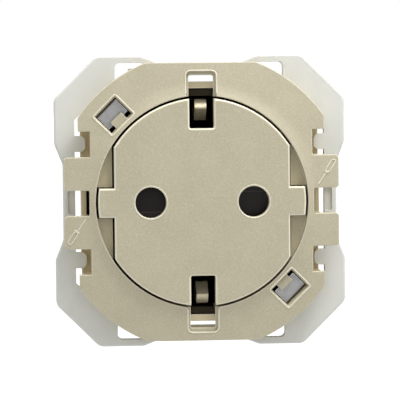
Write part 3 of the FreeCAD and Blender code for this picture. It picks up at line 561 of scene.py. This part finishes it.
@dataclass(frozen=True)
class DrawnWire(Finish):
    """Drawn spring or screw steel: fine pits and a light oil film."""

    pit_mm: float = 0.15
    pit_band: Pair = (0.4, 0.7)
    pit_share: float = 0.6
    pit_colour_share: float = 0.6
    pit_depth_mm: float = 0.003
    film_mm: float = 0.8
    gloss_swing: Pair = (0.08, 0.1)

    def build(self) -> bpy.types.Material:
        """Builds the material: pitted tone with uneven gloss.

        Returns:
            The finished material.
        """
        graph = Graph(self.name)
        pits = graph.noise(self.pit_mm, FINE_OCTAVES)
        dark = shaded(self.colour, self.pit_colour_share)
        pitted = graph.span(pits, self.pit_band, 0.0, self.pit_share)
        graph.feed("Base Color", graph.blend(pitted, self.colour, dark))
        graph.gloss(graph.noise(self.film_mm, ROUGH_OCTAVES), self.roughness, *self.gloss_swing)
        graph.feed("Normal", graph.bump(pits, self.pit_depth_mm))
        graph.feed("Metallic", 1.0)
        return graph.material


class Finishes:
    """The finishes of this socket, each built once."""

    def __init__(self) -> None:
        """Builds every material by its slot."""
        champagne = MetallicPaint(
            "champagne_paint", srgb(189, 182, 158), roughness=0.52,
            edge_highlight=srgb(236, 230, 208), flake_colour=srgb(228, 222, 200), dark_flake=srgb(150, 140, 112),
        )
        # The face plate's eased edges widen its painted edge highlight onto the plate's truly rounded edges.
        self.face = replace(champagne, name="champagne_face_paint", eased=True).build()
        # Pale paint for the raised rims, rings and tool marks: a painted highlight on their rounded tops.
        self.trim = replace(champagne, name="champagne_highlight_paint", colour=srgb(236, 230, 210)).build()
        # The pale edge colours below are painted highlights along the edges of each finish.
        kinds = {
            Slot.CHAMPAGNE: replace(champagne, recess_light_colour=srgb(216, 202, 166)),
            Slot.OFFWHITE: MouldedPlastic(
                "offwhite_plastic", srgb(213, 214, 208), roughness=0.5, specular=0.4,
                edge_highlight=srgb(240, 240, 235),
            ),
            Slot.BLACK: MouldedPlastic("black_plastic", srgb(42, 36, 24), roughness=0.55, specular=0.1),
            Slot.SHUTTER: MouldedPlastic(
                "shutter_plastic", srgb(33, 29, 28), roughness=0.32, specular=0.15,
                edge_highlight=srgb(105, 100, 98), grain_depth_mm=0.002,
            ),
            Slot.ZINC: SheetMetal(
                "zinc_plated_steel", srgb(162, 162, 162), roughness=0.38, stain=srgb(124, 124, 126),
                edge_highlight=srgb(250, 250, 250), edge_radius_mm=0.16, edge_highlight_share=1.0, sharp=True,
                grain=(1.0, 1.0, 10.0),
            ),
            Slot.NICKEL: SheetMetal(
                "nickel_plated_brass", srgb(206, 196, 166), roughness=0.3, stain=srgb(160, 150, 120),
                edge_highlight=srgb(240, 236, 220), metallic=0.35, grain=(14.0, 1.0, 1.0),
            ),
            Slot.BRASS: SheetMetal(
                "contact_brass", srgb(214, 180, 108), roughness=0.33, stain=srgb(160, 122, 60),
                edge_highlight=srgb(245, 222, 160),
            ),
            Slot.SPRING: DrawnWire("spring_wire", srgb(175, 176, 178), roughness=0.3),
            Slot.SCREW: DrawnWire("screw_steel", srgb(190, 190, 192), roughness=0.28),
        }
        self.by_slot = {slot: finish.build() for slot, finish in kinds.items()}

    def dress_nodes(self, nodes: dict[str, bpy.types.Object], subparts: list[dict]) -> None:
        """Gives every CAD node the finish of its material slot, and the face plate its own paint.

        Args:
            nodes: CAD objects by name.
            subparts: The record's rows of node and material slot.
        """
        for row in subparts:
            mesh = nodes[row["node"]].data
            material = self.face if row["node"] == "face_plate" else self.by_slot[Slot(row["material_slot"])]
            mesh.materials.clear()
            mesh.materials.append(material)
            LOG.info("node %s: %s", row["node"], material.name)


def unit(vectors: np.ndarray) -> np.ndarray:
    """Vectors of length 1 in the directions of the given ones, which lie along the last axis."""
    return vectors / np.linalg.norm(vectors, axis=-1, keepdims=True)


def tube_faces(rows: int, around: int, closed: bool) -> np.ndarray:
    """Four-sided faces between rings of points that follow each other.

    With i for the ring and j for the place on it, a face joins (i, j), (i + 1, j), (i + 1, j + 1) and (i, j + 1),
    where a count that runs past its end starts again at 0.

    Args:
        rows: Number of rings.
        around: Points on each ring.
        closed: Whether the last ring is joined to the first.

    Returns:
        The point numbers, shape (n, 4).
    """
    i, j = np.meshgrid(np.arange(rows if closed else rows - 1), np.arange(around), indexing="ij")
    here, beyond = i * around, (i + 1) % rows * around
    j_next = (j + 1) % around
    return np.stack([here + j, beyond + j, beyond + j_next, here + j_next], axis=-1).reshape(-1, 4)


def mesh_piece(
    name: str, points: np.ndarray, faces: list[list[int]], material: bpy.types.Material,
) -> bpy.types.Object:
    """Makes a smooth-shaded object of points and faces, with its faces turned outwards.

    Args:
        name: Piece name.
        points: Points in the row frame in metres, shape (n, 3).
        faces: Point numbers of each face.
        material: Finish.

    Returns:
        The new object at the origin.
    """
    mesh = bpy.data.meshes.new(name)
    mesh.from_pydata(points.tolist(), [], faces)
    shell = bmesh.new()
    shell.from_mesh(mesh)
    bmesh.ops.recalc_face_normals(shell, faces=shell.faces)
    shell.to_mesh(mesh)
    shell.free()
    mesh.polygons.foreach_set("use_smooth", np.ones(len(mesh.polygons), bool))
    mesh.materials.append(material)
    piece = bpy.data.objects.new(name, mesh)
    bpy.context.scene.collection.objects.link(piece)
    return piece


@dataclass
class Plane:
    """A flat face of the part on which a mark is drawn, with its own right and up directions."""

    origin: Vector
    right: Vector
    up: Vector

    def lift(self, flat: np.ndarray) -> np.ndarray:
        """Turns plane coordinates into the row frame: origin + right a + up b + (right x up) c.

        Args:
            flat: Array of right, up and out in millimetres, shape (n, 3).

        Returns:
            Points in metres, shape (n, 3).
        """
        axes = np.array([self.right, self.up, self.right.cross(self.up)], float)
        return (np.array(self.origin, float) + flat @ axes) * MM


@dataclass
class Strokes:
    """Raised strokes with a half-round section, carried along lines that lie in a plane."""

    half_width: float
    height: float
    around: int = 10
    end_rings: int = 4
    end_turn: float = 0.45 * math.pi
    verts: list[np.ndarray] = field(default_factory=list)
    faces: list[list[int]] = field(default_factory=list)

    def add(self, path: np.ndarray, closed: bool = False, rise: np.ndarray | None = None) -> None:
        """Adds one stroke.

        The section is an ellipse whose lower half lies inside the plastic. It is carried along the path at
        right angles to it. An open path gets round ends: the section shrinks as a cosine over nearly a quarter
        turn while its centre runs on as a sine, and a small polygon closes each end.

        Args:
            path: Points in the plane in millimetres, shape (n, 2).
            closed: Whether the path runs back to its start.
            rise: Height of the surface above the plane at each point, or none where it is flat.
        """
        rise = np.zeros(len(path)) if rise is None else rise
        if closed:
            ahead = np.roll(path, -1, axis=0) - np.roll(path, 1, axis=0)
            scale = np.ones(len(path))
        else:
            ahead = np.gradient(path, axis=0)
            turn = np.linspace(0.0, self.end_turn, self.end_rings + 1)[1:]
            first, last = unit(ahead[0]), unit(ahead[-1])
            start = path[0] - np.outer(np.sin(turn[::-1]), first) * self.half_width
            end = path[-1] + np.outer(np.sin(turn), last) * self.half_width
            scale = np.concatenate([np.cos(turn[::-1]), np.ones(len(path)), np.cos(turn)])
            path = np.vstack([start, path, end])
            rise = np.pad(rise, self.end_rings, mode="edge")
            ahead = np.vstack([np.tile(first, (self.end_rings, 1)), ahead, np.tile(last, (self.end_rings, 1))])
        ahead = unit(ahead)
        side = np.stack([-ahead[:, 1], ahead[:, 0]], axis=1)
        angle = np.linspace(0.0, FULL_TURN, self.around, endpoint=False)
        across = self.half_width * np.cos(angle)[None, :] * scale[:, None]
        out = rise[:, None] + self.height * np.sin(angle)[None, :] * scale[:, None]
        flat = path[:, None, :] + side[:, None, :] * across[:, :, None]
        base = sum(len(v) for v in self.verts)
        self.faces.extend((tube_faces(len(path), self.around, closed) + base).tolist())
        if not closed:
            ring = np.arange(self.around) + base
            self.faces.append(ring.tolist())
            self.faces.append((ring[::-1] + (len(path) - 1) * self.around).tolist())
        self.verts.append(np.concatenate([flat, out[:, :, None]], axis=2).reshape(-1, 3))

    def build(self, name: str, plane: Plane, material: bpy.types.Material) -> bpy.types.Object:
        """Makes the object of all strokes.

        Args:
            name: Piece name.
            plane: The face that carries the strokes.
            material: Finish.

        Returns:
            The new object, its place in its mesh.
        """
        return mesh_piece(name, plane.lift(np.vstack(self.verts)), self.faces, material)


def line(start: Pair | np.ndarray, end: Pair | np.ndarray, count: int = 8) -> np.ndarray:
    """Evenly spaced points on a straight line."""
    return np.linspace(start, end, count)


def rounded_path(
    corners: list[Pair], radius: float, closed: bool, corner_points: int = 7, step: float = 0.25,
) -> np.ndarray:
    """Rounds the corners of a line and fills its straight runs with points.

    Each corner gives way to a curve between the two points that lie one radius before and after it:
    (1 - t) squared times the first, 2 t (1 - t) times the corner and t squared times the second.

    Args:
        corners: Corner points.
        radius: Distance from the corner at which the curve begins.
        closed: Whether the last point joins the first.
        corner_points: Points on each curve.
        step: Distance of the points on a straight run in millimetres.

    Returns:
        The points, shape (n, 2).
    """
    points = np.array(corners, float)
    leave = points + radius * unit(np.roll(points, -1, axis=0) - points)
    enter = points + radius * unit(np.roll(points, 1, axis=0) - points)
    if not closed:
        enter[0], leave[0] = points[0], points[0]
        enter[-1], leave[-1] = points[-1], points[-1]
    t = np.linspace(0.0, 1.0, corner_points)[None, :, None]
    curves = (1 - t) ** 2 * enter[:, None] + 2 * t * (1 - t) * points[:, None] + t ** 2 * leave[:, None]
    pieces = []
    for number in range(len(points)):
        pieces.append(curves[number] if closed or 0 < number < len(points) - 1 else points[number:number + 1])
        if closed or number < len(points) - 1:
            start, end = leave[number], enter[(number + 1) % len(points)]
            count = max(2, int(np.linalg.norm(end - start) / step))
            pieces.append(np.linspace(start, end, count + 1)[1:-1])
    return np.vstack(pieces)


@dataclass(frozen=True)
class CoverFront:
    """Front of the cover: the hollow slope of its raised lip, and the flange that falls back beyond it."""

    foot_y: float = -7.3
    foot: float = 22.3
    crest: float = 19.72
    height: float = 0.7
    fall: float = 0.09

    def rise(self, path: np.ndarray) -> np.ndarray:
        """Height of the front over the foot of the slope.

        Beyond the foot it is -fall * (r - foot). The slope is an arc that leaves the flange without a break and
        ends at the crest. With d = (crest - foot, height) and the flange's unit normal n, its radius is
        R = d.d / (2 d.n), its centre is c = (foot, 0) + R n, and its height is c_y - sqrt(R^2 - (r - c_x)^2).

        Args:
            path: Points in the plane in millimetres, shape (n, 2).

        Returns:
            The heights in millimetres, shape (n,).
        """
        away = np.linalg.norm(path, axis=1)
        chord = np.array([self.crest - self.foot, self.height])
        normal = unit(np.array([self.fall, 1.0]))
        radius = chord @ chord / (2.0 * chord @ normal)
        centre = np.array([self.foot, 0.0]) + radius * normal
        inside = np.clip(away, self.crest, self.foot)
        slope = centre[1] - np.sqrt(radius ** 2 - (inside - centre[0]) ** 2)
        return np.where(away < self.foot, slope, -self.fall * (away - self.foot))

    def plane(self, turned: float = 1.0) -> Plane:
        """Plane through the foot of the slope, or the same plane turned half round about Y where -1 is given."""
        return Plane(Vector((0.0, self.foot_y, 0.0)), Vector((turned, 0.0, 0.0)), Vector((0.0, 0.0, turned)))


@dataclass
class CoverTrim:
    """Thin raised rims of the cover round its two clip notches and its two latch windows, that stand for the edges'
    highlight.
    """

    front: CoverFront
    rim_half: float = 0.14
    rim_height: float = 0.1
    notch_half: float = 2.87
    notch_start: float = 20.0
    notch_end: float = 24.2
    notch_corner: float = 1.1
    window_inner: float = 20.3
    window_outer: float = 25.36
    window_half: float = 2.94
    window_corner: float = 0.35
    upper_left_angle: float = 135.0
    lower_right_angle: float = 315.0

    def notch_rim(self, sign: float) -> np.ndarray:
        """Line round a clip notch: two sides joined by an end with round corners.

        Args:
            sign: 1 for the upper notch and -1 for the lower one.

        Returns:
            The points in plane coordinates.
        """
        half, start, end = self.notch_half, self.notch_start, self.notch_end
        corners = [(-half, start), (-half, end), (half, end), (half, start)]
        return rounded_path(corners, self.notch_corner, False) * np.array([1.0, sign])

    def window_rim(self, angle: float) -> np.ndarray:
        """Line round a latch window, a rectangle turned about the middle of the cover.

        Args:
            angle: Direction of the window from the middle, in degrees.

        Returns:
            The points in plane coordinates.
        """
        half, inner, outer = self.window_half, self.window_inner, self.window_outer
        corners = [(inner, -half), (outer, -half), (outer, half), (inner, half)]
        away, across = rounded_path(corners, self.window_corner, True).T
        cos, sin = math.cos(math.radians(angle)), math.sin(math.radians(angle))
        return np.stack([away * cos - across * sin, away * sin + across * cos], axis=1)

    def build(self, material: bpy.types.Material) -> list[bpy.types.Object]:
        """Makes the four rims.

        Args:
            material: Finish of the rims, a pale paint that makes them a painted highlight.

        Returns:
            The pieces.
        """
        rims = {
            "clip_notch_highlight_rim_upper": (self.notch_rim(1.0), False),
            "clip_notch_highlight_rim_lower": (self.notch_rim(-1.0), False),
            "latch_window_highlight_rim_upper_left": (self.window_rim(self.upper_left_angle), True),
            "latch_window_highlight_rim_lower_right": (self.window_rim(self.lower_right_angle), True),
        }
        made = []
        for name, (path, closed) in rims.items():
            rim = Strokes(self.rim_half, self.rim_height)
            rim.add(path, closed, self.front.rise(path))
            piece = rim.build(name, self.front.plane(), material)
            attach(piece, Body.FIXED.value)
            made.append(piece)
        return made


@dataclass
class FaceTrim:
    """Thin raised rings round the two pin holes of the face plate, that stand for the highlight on the holes' rims.
    """

    front_y: float = -8.4
    pin_x: float = 9.5
    ring_radius: float = 3.06
    ring_half: float = 0.11
    ring_height: float = 0.05
    ring_points: int = 64

    def build(self, material: bpy.types.Material) -> list[bpy.types.Object]:
        """Makes the two rings, each a small bead carried round a circle.

        Args:
            material: Finish of the rings, a pale paint that makes them a painted highlight.

        Returns:
            The pieces.
        """
        turn = np.linspace(0.0, FULL_TURN, self.ring_points, endpoint=False)
        circle = np.stack([np.cos(turn), np.sin(turn)], axis=1) * self.ring_radius
        made = []
        for name, side in (("pin_hole_highlight_ring_right", 1.0), ("pin_hole_highlight_ring_left", -1.0)):
            middle = Vector((side * self.pin_x, self.front_y, 0.0))
            ring = Strokes(self.ring_half, self.ring_height)
            ring.add(circle, closed=True)
            piece = ring.build(name, Plane(middle, Vector((1.0, 0.0, 0.0)), Vector((0.0, 0.0, 1.0))), material)
            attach(piece, Body.FACE.value)
            made.append(piece)
        return made


def wire_along(middle: np.ndarray, away: np.ndarray, radius: float, around: int) -> Shape:
    """Works out round wire along a line, closed at both ends.

    Each point of the line carries a circle: the point + radius * (cos a * away + sin a * (ahead x away)), where
    away is a unit direction at right angles to the line there, ahead is the line's own and a runs once round.

    Args:
        middle: Points of the line in millimetres, shape (n, 3).
        away: Unit direction across the line at each point, shape (n, 3).
        radius: Radius of the wire in millimetres.
        around: Points on each circle.

    Returns:
        The points in metres, shape (n * around, 3), and the point numbers of each face.
    """
    side = np.cross(unit(np.gradient(middle, axis=0)), away)
    angle = np.linspace(0.0, FULL_TURN, around, endpoint=False)[None, :, None]
    rings = middle[:, None] + radius * (np.cos(angle) * away[:, None] + np.sin(angle) * side[:, None])
    start = np.arange(around)
    caps = [start.tolist(), (start + (len(middle) - 1) * around).tolist()]
    return rings.reshape(-1, 3) * MM, tube_faces(len(middle), around, False).tolist() + caps


@dataclass
class ReturnSprings:
    """The four coil springs that push the face plate forward, with closed end turns."""

    wire: float = 0.5
    turns: float = 11.0
    closed_turns: float = 1.0
    travel: float = 17.0
    steps_per_turn: int = 30
    around: int = 10

    def coil(self, middle: np.ndarray, radius: float, start: float, length: float) -> Shape:
        """Works out one coil.

        The middle line runs round the spring's axis while it climbs: slowly over the closed turns at both
        ends, evenly between them. The direction away from the axis goes with it.

        Args:
            middle: X and Z of the spring's axis in millimetres.
            radius: Radius of the middle line.
            start: Y of the first turn's middle.
            length: Climb from the first to the last turn's middle.

        Returns:
            The points in metres and the point numbers of each face.
        """
        turn = np.linspace(0.0, self.turns, int(self.turns * self.steps_per_turn) + 1)
        closed = self.closed_turns * self.wire
        climb = np.interp(
            turn, [0.0, self.closed_turns, self.turns - self.closed_turns, self.turns],
            [0.0, closed, length - closed, length],
        )
        angle = FULL_TURN * turn
        away = np.stack([np.cos(angle), np.zeros_like(angle), np.sin(angle)], axis=1)
        axis = np.stack([np.full_like(turn, middle[0]), start + climb, np.full_like(turn, middle[1])], axis=1)
        return wire_along(away * radius + axis, away, 0.5 * self.wire, self.around)

    def build(self, nodes: dict[str, bpy.types.Object], material: bpy.types.Material) -> list[bpy.types.Object]:
        """Makes a coil in the place of each plain spring of the part.

        Args:
            nodes: CAD objects by name.
            material: Finish of the wire.

        Returns:
            The pieces.
        """
        made = []
        for node in sorted(name for name in nodes if name.startswith("return_spring")):
            low, high = (np.array(corner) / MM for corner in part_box(node))
            middle = (low + high)[[0, 2]] / 2.0
            width, depth = high[0] - low[0], high[1] - low[1]
            points, faces = self.coil(
                middle, (width - self.wire) / 2.0, low[1] + self.wire / 2.0, depth - self.wire,
            )
            piece = mesh_piece("coil_" + node.removeprefix("return_spring_"), points, faces, material)
            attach(piece, Body.FIXED.value)
            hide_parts(node)
            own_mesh(piece)
            made.append(piece)
        return made


@dataclass
class ShutterSpring:
    """The shutter's torsion spring: turns with a leg in the retainer, and a leg that turns with the shutter."""

    node: str = "shutter_spring"
    wire: float = 0.4
    radius: float = 3.2
    turns: float = 2.0
    pitch: float = 0.42
    steps_per_turn: int = 48
    bend_steps: int = 6
    leg_steps: int = 4
    arm_points: int = 6
    around: int = 12

    def wound(self, start: float, end: float) -> Shape:
        """Works out the turns and the straight leg behind them.

        The middle line is (radius cos a, start + pitch a / 2 pi, -radius sin a) over the turns. A quarter circle,
        as large as the wire is thick, leads it back along Y, and it ends straight behind the end of that bend.
        The direction away from the axis goes with it over the turns and stays as it is on the leg.

        Args:
            start: Y of the first turn's middle in millimetres.
            end: Y of the leg's end.

        Returns:
            The points in metres and the point numbers of each face.
        """
        last = FULL_TURN * self.turns - self.wire / self.radius
        angle = np.linspace(0.0, last, int(self.turns * self.steps_per_turn) + 1)
        depth = start + self.pitch * angle / FULL_TURN
        coil = np.stack([self.radius * np.cos(angle), depth, -self.radius * np.sin(angle)], axis=1)
        bend = 0.5 * math.pi * np.linspace(0.0, 1.0, self.bend_steps + 1)[1:]
        onwards = np.array([-math.sin(last), 0.0, -math.cos(last)])
        back = np.array([0.0, 1.0, 0.0])
        corner = coil[-1] + self.wire * (np.outer(np.sin(bend), onwards) + np.outer(1.0 - np.cos(bend), back))
        leg = np.linspace(corner[-1], [corner[-1][0], end, corner[-1][2]], self.leg_steps + 1)[1:]
        away = np.stack([np.cos(angle), np.zeros_like(angle), -np.sin(angle)], axis=1)
        away = np.vstack([away, np.tile(away[-1], (self.bend_steps + self.leg_steps, 1))])
        return wire_along(np.vstack([coil, corner, leg]), away, 0.5 * self.wire, self.around)

    def arm(self, start: float, reach: float) -> Shape:
        """Works out the straight leg that lies in the shutter, from the turns' wire outwards along X.

        Args:
            start: Y of its middle in millimetres.
            reach: X of its end.

        Returns:
            The points in metres and the point numbers of each face.
        """
        middle = np.linspace([self.radius, start, 0.0], [reach, start, 0.0], self.arm_points)
        away = np.tile([0.0, 1.0, 0.0], (self.arm_points, 1))
        return wire_along(middle, away, 0.5 * self.wire, self.around)

    def build(self, material: bpy.types.Material) -> list[bpy.types.Object]:
        """Makes the turns on the moving face and the arm on the shutter, in the place of the plain spring.

        Args:
            material: Finish of the wire.

        Returns:
            The pieces.
        """
        low, high = (np.array(corner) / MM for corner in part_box(self.node))
        start = low[1] + 0.5 * self.wire
        shapes = {
            "shutter_spring_turns": (Body.FACE, self.wound(start, high[1])),
            "shutter_spring_arm": (Body.SHUTTER, self.arm(start, high[0])),
        }
        made = []
        for name, (body, (points, faces)) in shapes.items():
            piece = mesh_piece(name, points, faces, material)
            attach(piece, body.value)
            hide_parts(self.node)
            made.append(piece)
        return made


@dataclass
class ToolMark:
    """Outline of a plain screwdriver that shows where the blade goes in, raised on a tab of the cover."""

    front: CoverFront
    tip: Pair = (21.55, 3.0)
    handle_end: Pair = (24.62, 7.45)
    handle_half: float = 0.40
    handle_gap: float = 0.12
    collar_share: float = 0.5
    collar_half: float = 0.48
    line_half: float = 0.1
    line_height: float = 0.12
    blade_points: int = 16
    collar_points: int = 5
    cap_points: int = 13

    def strokes(self) -> Strokes:
        """Draws the blade, its collar and the handle.

        The handle is a stadium: two half circles of one radius, joined by straight runs, so its outline is
        every point at that distance from the middle line.

        Returns:
            The strokes in plane coordinates.
        """
        tip, end = np.array(self.tip), np.array(self.handle_end)
        along = unit(end - tip)
        across = np.array([-along[1], along[0]])
        collar = tip + (end - tip) * self.collar_share
        low = collar + along * (self.handle_half + self.handle_gap)
        high = end - along * self.handle_half
        turn = np.linspace(-0.5 * math.pi, 0.5 * math.pi, self.cap_points)
        cap = np.outer(np.cos(turn), along) + np.outer(np.sin(turn), across)
        outline = np.vstack([high + cap * self.handle_half, low - cap * self.handle_half])
        blade = line(tip, collar, self.blade_points)
        half = across * self.collar_half
        guard = line(collar - half, collar + half, self.collar_points)
        marks = Strokes(self.line_half, self.line_height)
        for path, closed in ((blade, False), (guard, False), (outline, True)):
            marks.add(path, closed, self.front.rise(path))
        return marks

    def build(self, material: bpy.types.Material) -> list[bpy.types.Object]:
        """Makes the mark on the upper right tab and, half a turn round, on the lower left tab.

        Args:
            material: Finish of the marks, a pale paint that is a painted highlight on the raised lines.

        Returns:
            The two pieces.
        """
        made = []
        for name, sign in (("tool_mark_upper_right", 1.0), ("tool_mark_lower_left", -1.0)):
            piece = self.strokes().build(name, self.front.plane(sign), material)
            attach(piece, Body.FIXED.value)
            made.append(piece)
        return made


@dataclass
class EarthMark:
    """Plain earth sign, raised on the housing's wall under the earth terminal's clamp screws."""

    centre_y: float = 27.2
    wall_z: float = 21.9
    stem: float = 1.5
    bars: Triple = (1.3, 0.85, 0.4)
    spacing: float = 0.62
    line_half: float = 0.11
    line_height: float = 0.14

    def build(self, material: bpy.types.Material) -> bpy.types.Object:
        """Makes the stem and the three bars.

        Args:
            material: Finish of the housing.

        Returns:
            The piece.
        """
        marks = Strokes(self.line_half, self.line_height)
        marks.add(line((0.0, 0.0), (0.0, self.stem)))
        for number, half in enumerate(self.bars):
            height = -number * self.spacing
            marks.add(line((-half, height), (half, height)))
        middle = Vector((0.0, self.centre_y, self.wall_z))
        plane = Plane(middle, Vector((-1.0, 0.0, 0.0)), Vector((0.0, -1.0, 0.0)))
        piece = marks.build("earth_mark", plane, material)
        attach(piece, Body.FIXED.value)
        return piece


@dataclass
class AreaLamp:
    """A soft box aimed at the part."""

    name: str
    place: Triple
    width: float
    watts: float

    def build(self) -> None:
        """Makes the lamp and turns it towards the part."""
        lamp = bpy.data.lights.new(self.name, "AREA")
        lamp.shape = "SQUARE"
        lamp.size = self.width
        lamp.energy = self.watts
        made = bpy.data.objects.new(self.name, lamp)
        made.location = self.place
        made.rotation_mode = "QUATERNION"
        made.rotation_quaternion = (-Vector(self.place)).to_track_quat("-Z", "Y")
        bpy.context.scene.collection.objects.link(made)


@dataclass
class Studio:
    """White surroundings, soft lamps and the camera at the photograph's angle.

    The key lamp stands close to the part and almost straight above its front, so that it grazes the cover. The
    floor and the world have one look for the camera and for gloss, and light the part by another.
    """

    floor_z: float = -0.12
    floor_reach: float = 12.0
    floor_paint: float = 0.86
    floor_glow: float = 1.3
    floor_glow_share: float = 0.7
    floor_matt: float = 0.6
    ambient_below: float = 0.72
    ambient_above: float = 0.94
    azimuth: float = -3.7
    elevation: float = 2.8
    roll: float = -0.6
    distance: float = 0.43
    view_width_mm: float = 74.31
    sensor_mm: float = 36.0
    clip: Pair = (0.05, 60.0)
    aim: Triple = (-0.00019, -0.004, 0.00020)
    lamps: list[AreaLamp] = field(default_factory=lambda: [
        AreaLamp("key_lamp", (0.077, -0.08, 0.228), width=0.12, watts=0.6),
        AreaLamp("back_lamp", (-0.3, 1.0, 0.8), width=0.6, watts=3.5),
    ])

    def build_world(self) -> None:
        """Makes the world: plain white where it is seen, and a soft light, stronger from above, elsewhere."""
        world = bpy.data.worlds.new("studio_world")
        tree = Tree(world)
        around = tree.node("ShaderNodeTexCoord").outputs["Generated"]
        height = tree.node("ShaderNodeSeparateXYZ", {"Vector": around}).outputs["Z"]
        strength = tree.span(height, (-1.0, 1.0), self.ambient_below, self.ambient_above)
        light, seen = (
            tree.node("ShaderNodeBackground", {"Color": grey(1.0), "Strength": level}).outputs[0]
            for level in (strength, 1.0)
        )
        tree.end("ShaderNodeOutputWorld", tree.mix_shaders(tree.seen_share(), light, seen))
        bpy.context.scene.world = world

    def build_floor(self) -> None:
        """Makes the pale floor under the part.

        Where it is seen, it is pale paint mixed with a glow, about white with a faint soft shadow. On all other
        rays it is a matt paint that throws less light up at the part.
        """
        material = bpy.data.materials.new("studio_floor")
        tree = Tree(material)
        paint, matt = (
            tree.node("ShaderNodeBsdfDiffuse", {"Color": grey(level)}).outputs[0]
            for level in (self.floor_paint, self.floor_matt)
        )
        glow = tree.node("ShaderNodeEmission", {"Strength": self.floor_glow}).outputs[0]
        seen = tree.mix_shaders(self.floor_glow_share, paint, glow)
        tree.end("ShaderNodeOutputMaterial", tree.mix_shaders(tree.seen_share(), matt, seen))
        corners = np.array([[-1, -1], [1, -1], [1, 1], [-1, 1]]) * self.floor_reach
        mesh = bpy.data.meshes.new("studio_floor")
        mesh.from_pydata([(x, y, self.floor_z) for x, y in corners], [], [(0, 1, 2, 3)])
        mesh.materials.append(material)
        floor = bpy.data.objects.new("studio_floor", mesh)
        bpy.context.scene.collection.objects.link(floor)

    def build_camera(self) -> None:
        """Makes the camera: a long lens, a little to the left of the part and a little above it.

        The lens follows from the distance and from the width of the part's plane that the image shows.
        """
        azimuth, elevation = math.radians(self.azimuth), math.radians(self.elevation)
        back = Vector((
            math.sin(azimuth) * math.cos(elevation), -math.cos(azimuth) * math.cos(elevation), math.sin(elevation),
        ))
        data = bpy.data.cameras.new("photo_camera")
        data.sensor_width = self.sensor_mm
        data.lens = self.sensor_mm * self.distance / (self.view_width_mm * MM)
        data.clip_start, data.clip_end = self.clip
        camera = bpy.data.objects.new("photo_camera", data)
        camera.location = Vector(self.aim) + back * self.distance
        camera.rotation_mode = "QUATERNION"
        turn = Quaternion((0.0, 0.0, 1.0), math.radians(self.roll))
        camera.rotation_quaternion = (-back).to_track_quat("-Z", "Y") @ turn
        bpy.context.scene.collection.objects.link(camera)
        bpy.context.scene.camera = camera

    def build(self) -> None:
        """Makes the whole studio."""
        bpy.context.scene.view_settings.view_transform = "Standard"
        self.build_world()
        self.build_floor()
        for lamp in self.lamps:
            lamp.build()
        self.build_camera()
        LOG.info("studio: %d lamps", len(self.lamps))


def clear_scene() -> None:
    """Removes what Blender starts with."""
    for thing in list(bpy.data.objects):
        bpy.data.objects.remove(thing)


def main() -> None:
    """Loads the part, dresses it, adds its springs and raised marks, reports them and sets up the studio."""
    logging.basicConfig(level=logging.INFO, format="%(name)s %(message)s")
    clear_scene()
    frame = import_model()
    finishes = Finishes()
    finishes.dress_nodes(frame["nodes"], frame["record"]["subparts"])
    front = CoverFront()
    # The rims, rings and tool marks get the pale paint, a painted highlight on their raised tops.
    pieces = [
        *ReturnSprings().build(frame["nodes"], finishes.by_slot[Slot.SPRING]),
        *ShutterSpring().build(finishes.by_slot[Slot.SPRING]),
        *CoverTrim(front).build(finishes.trim),
        *FaceTrim().build(finishes.trim),
        *ToolMark(front).build(finishes.trim),
        EarthMark().build(finishes.by_slot[Slot.BLACK]),
    ]
    for piece in pieces:
        LOG.info("piece %s: %d faces", piece.name, len(piece.data.polygons))
    Studio().build()


if __name__ == "__main__":
    main()
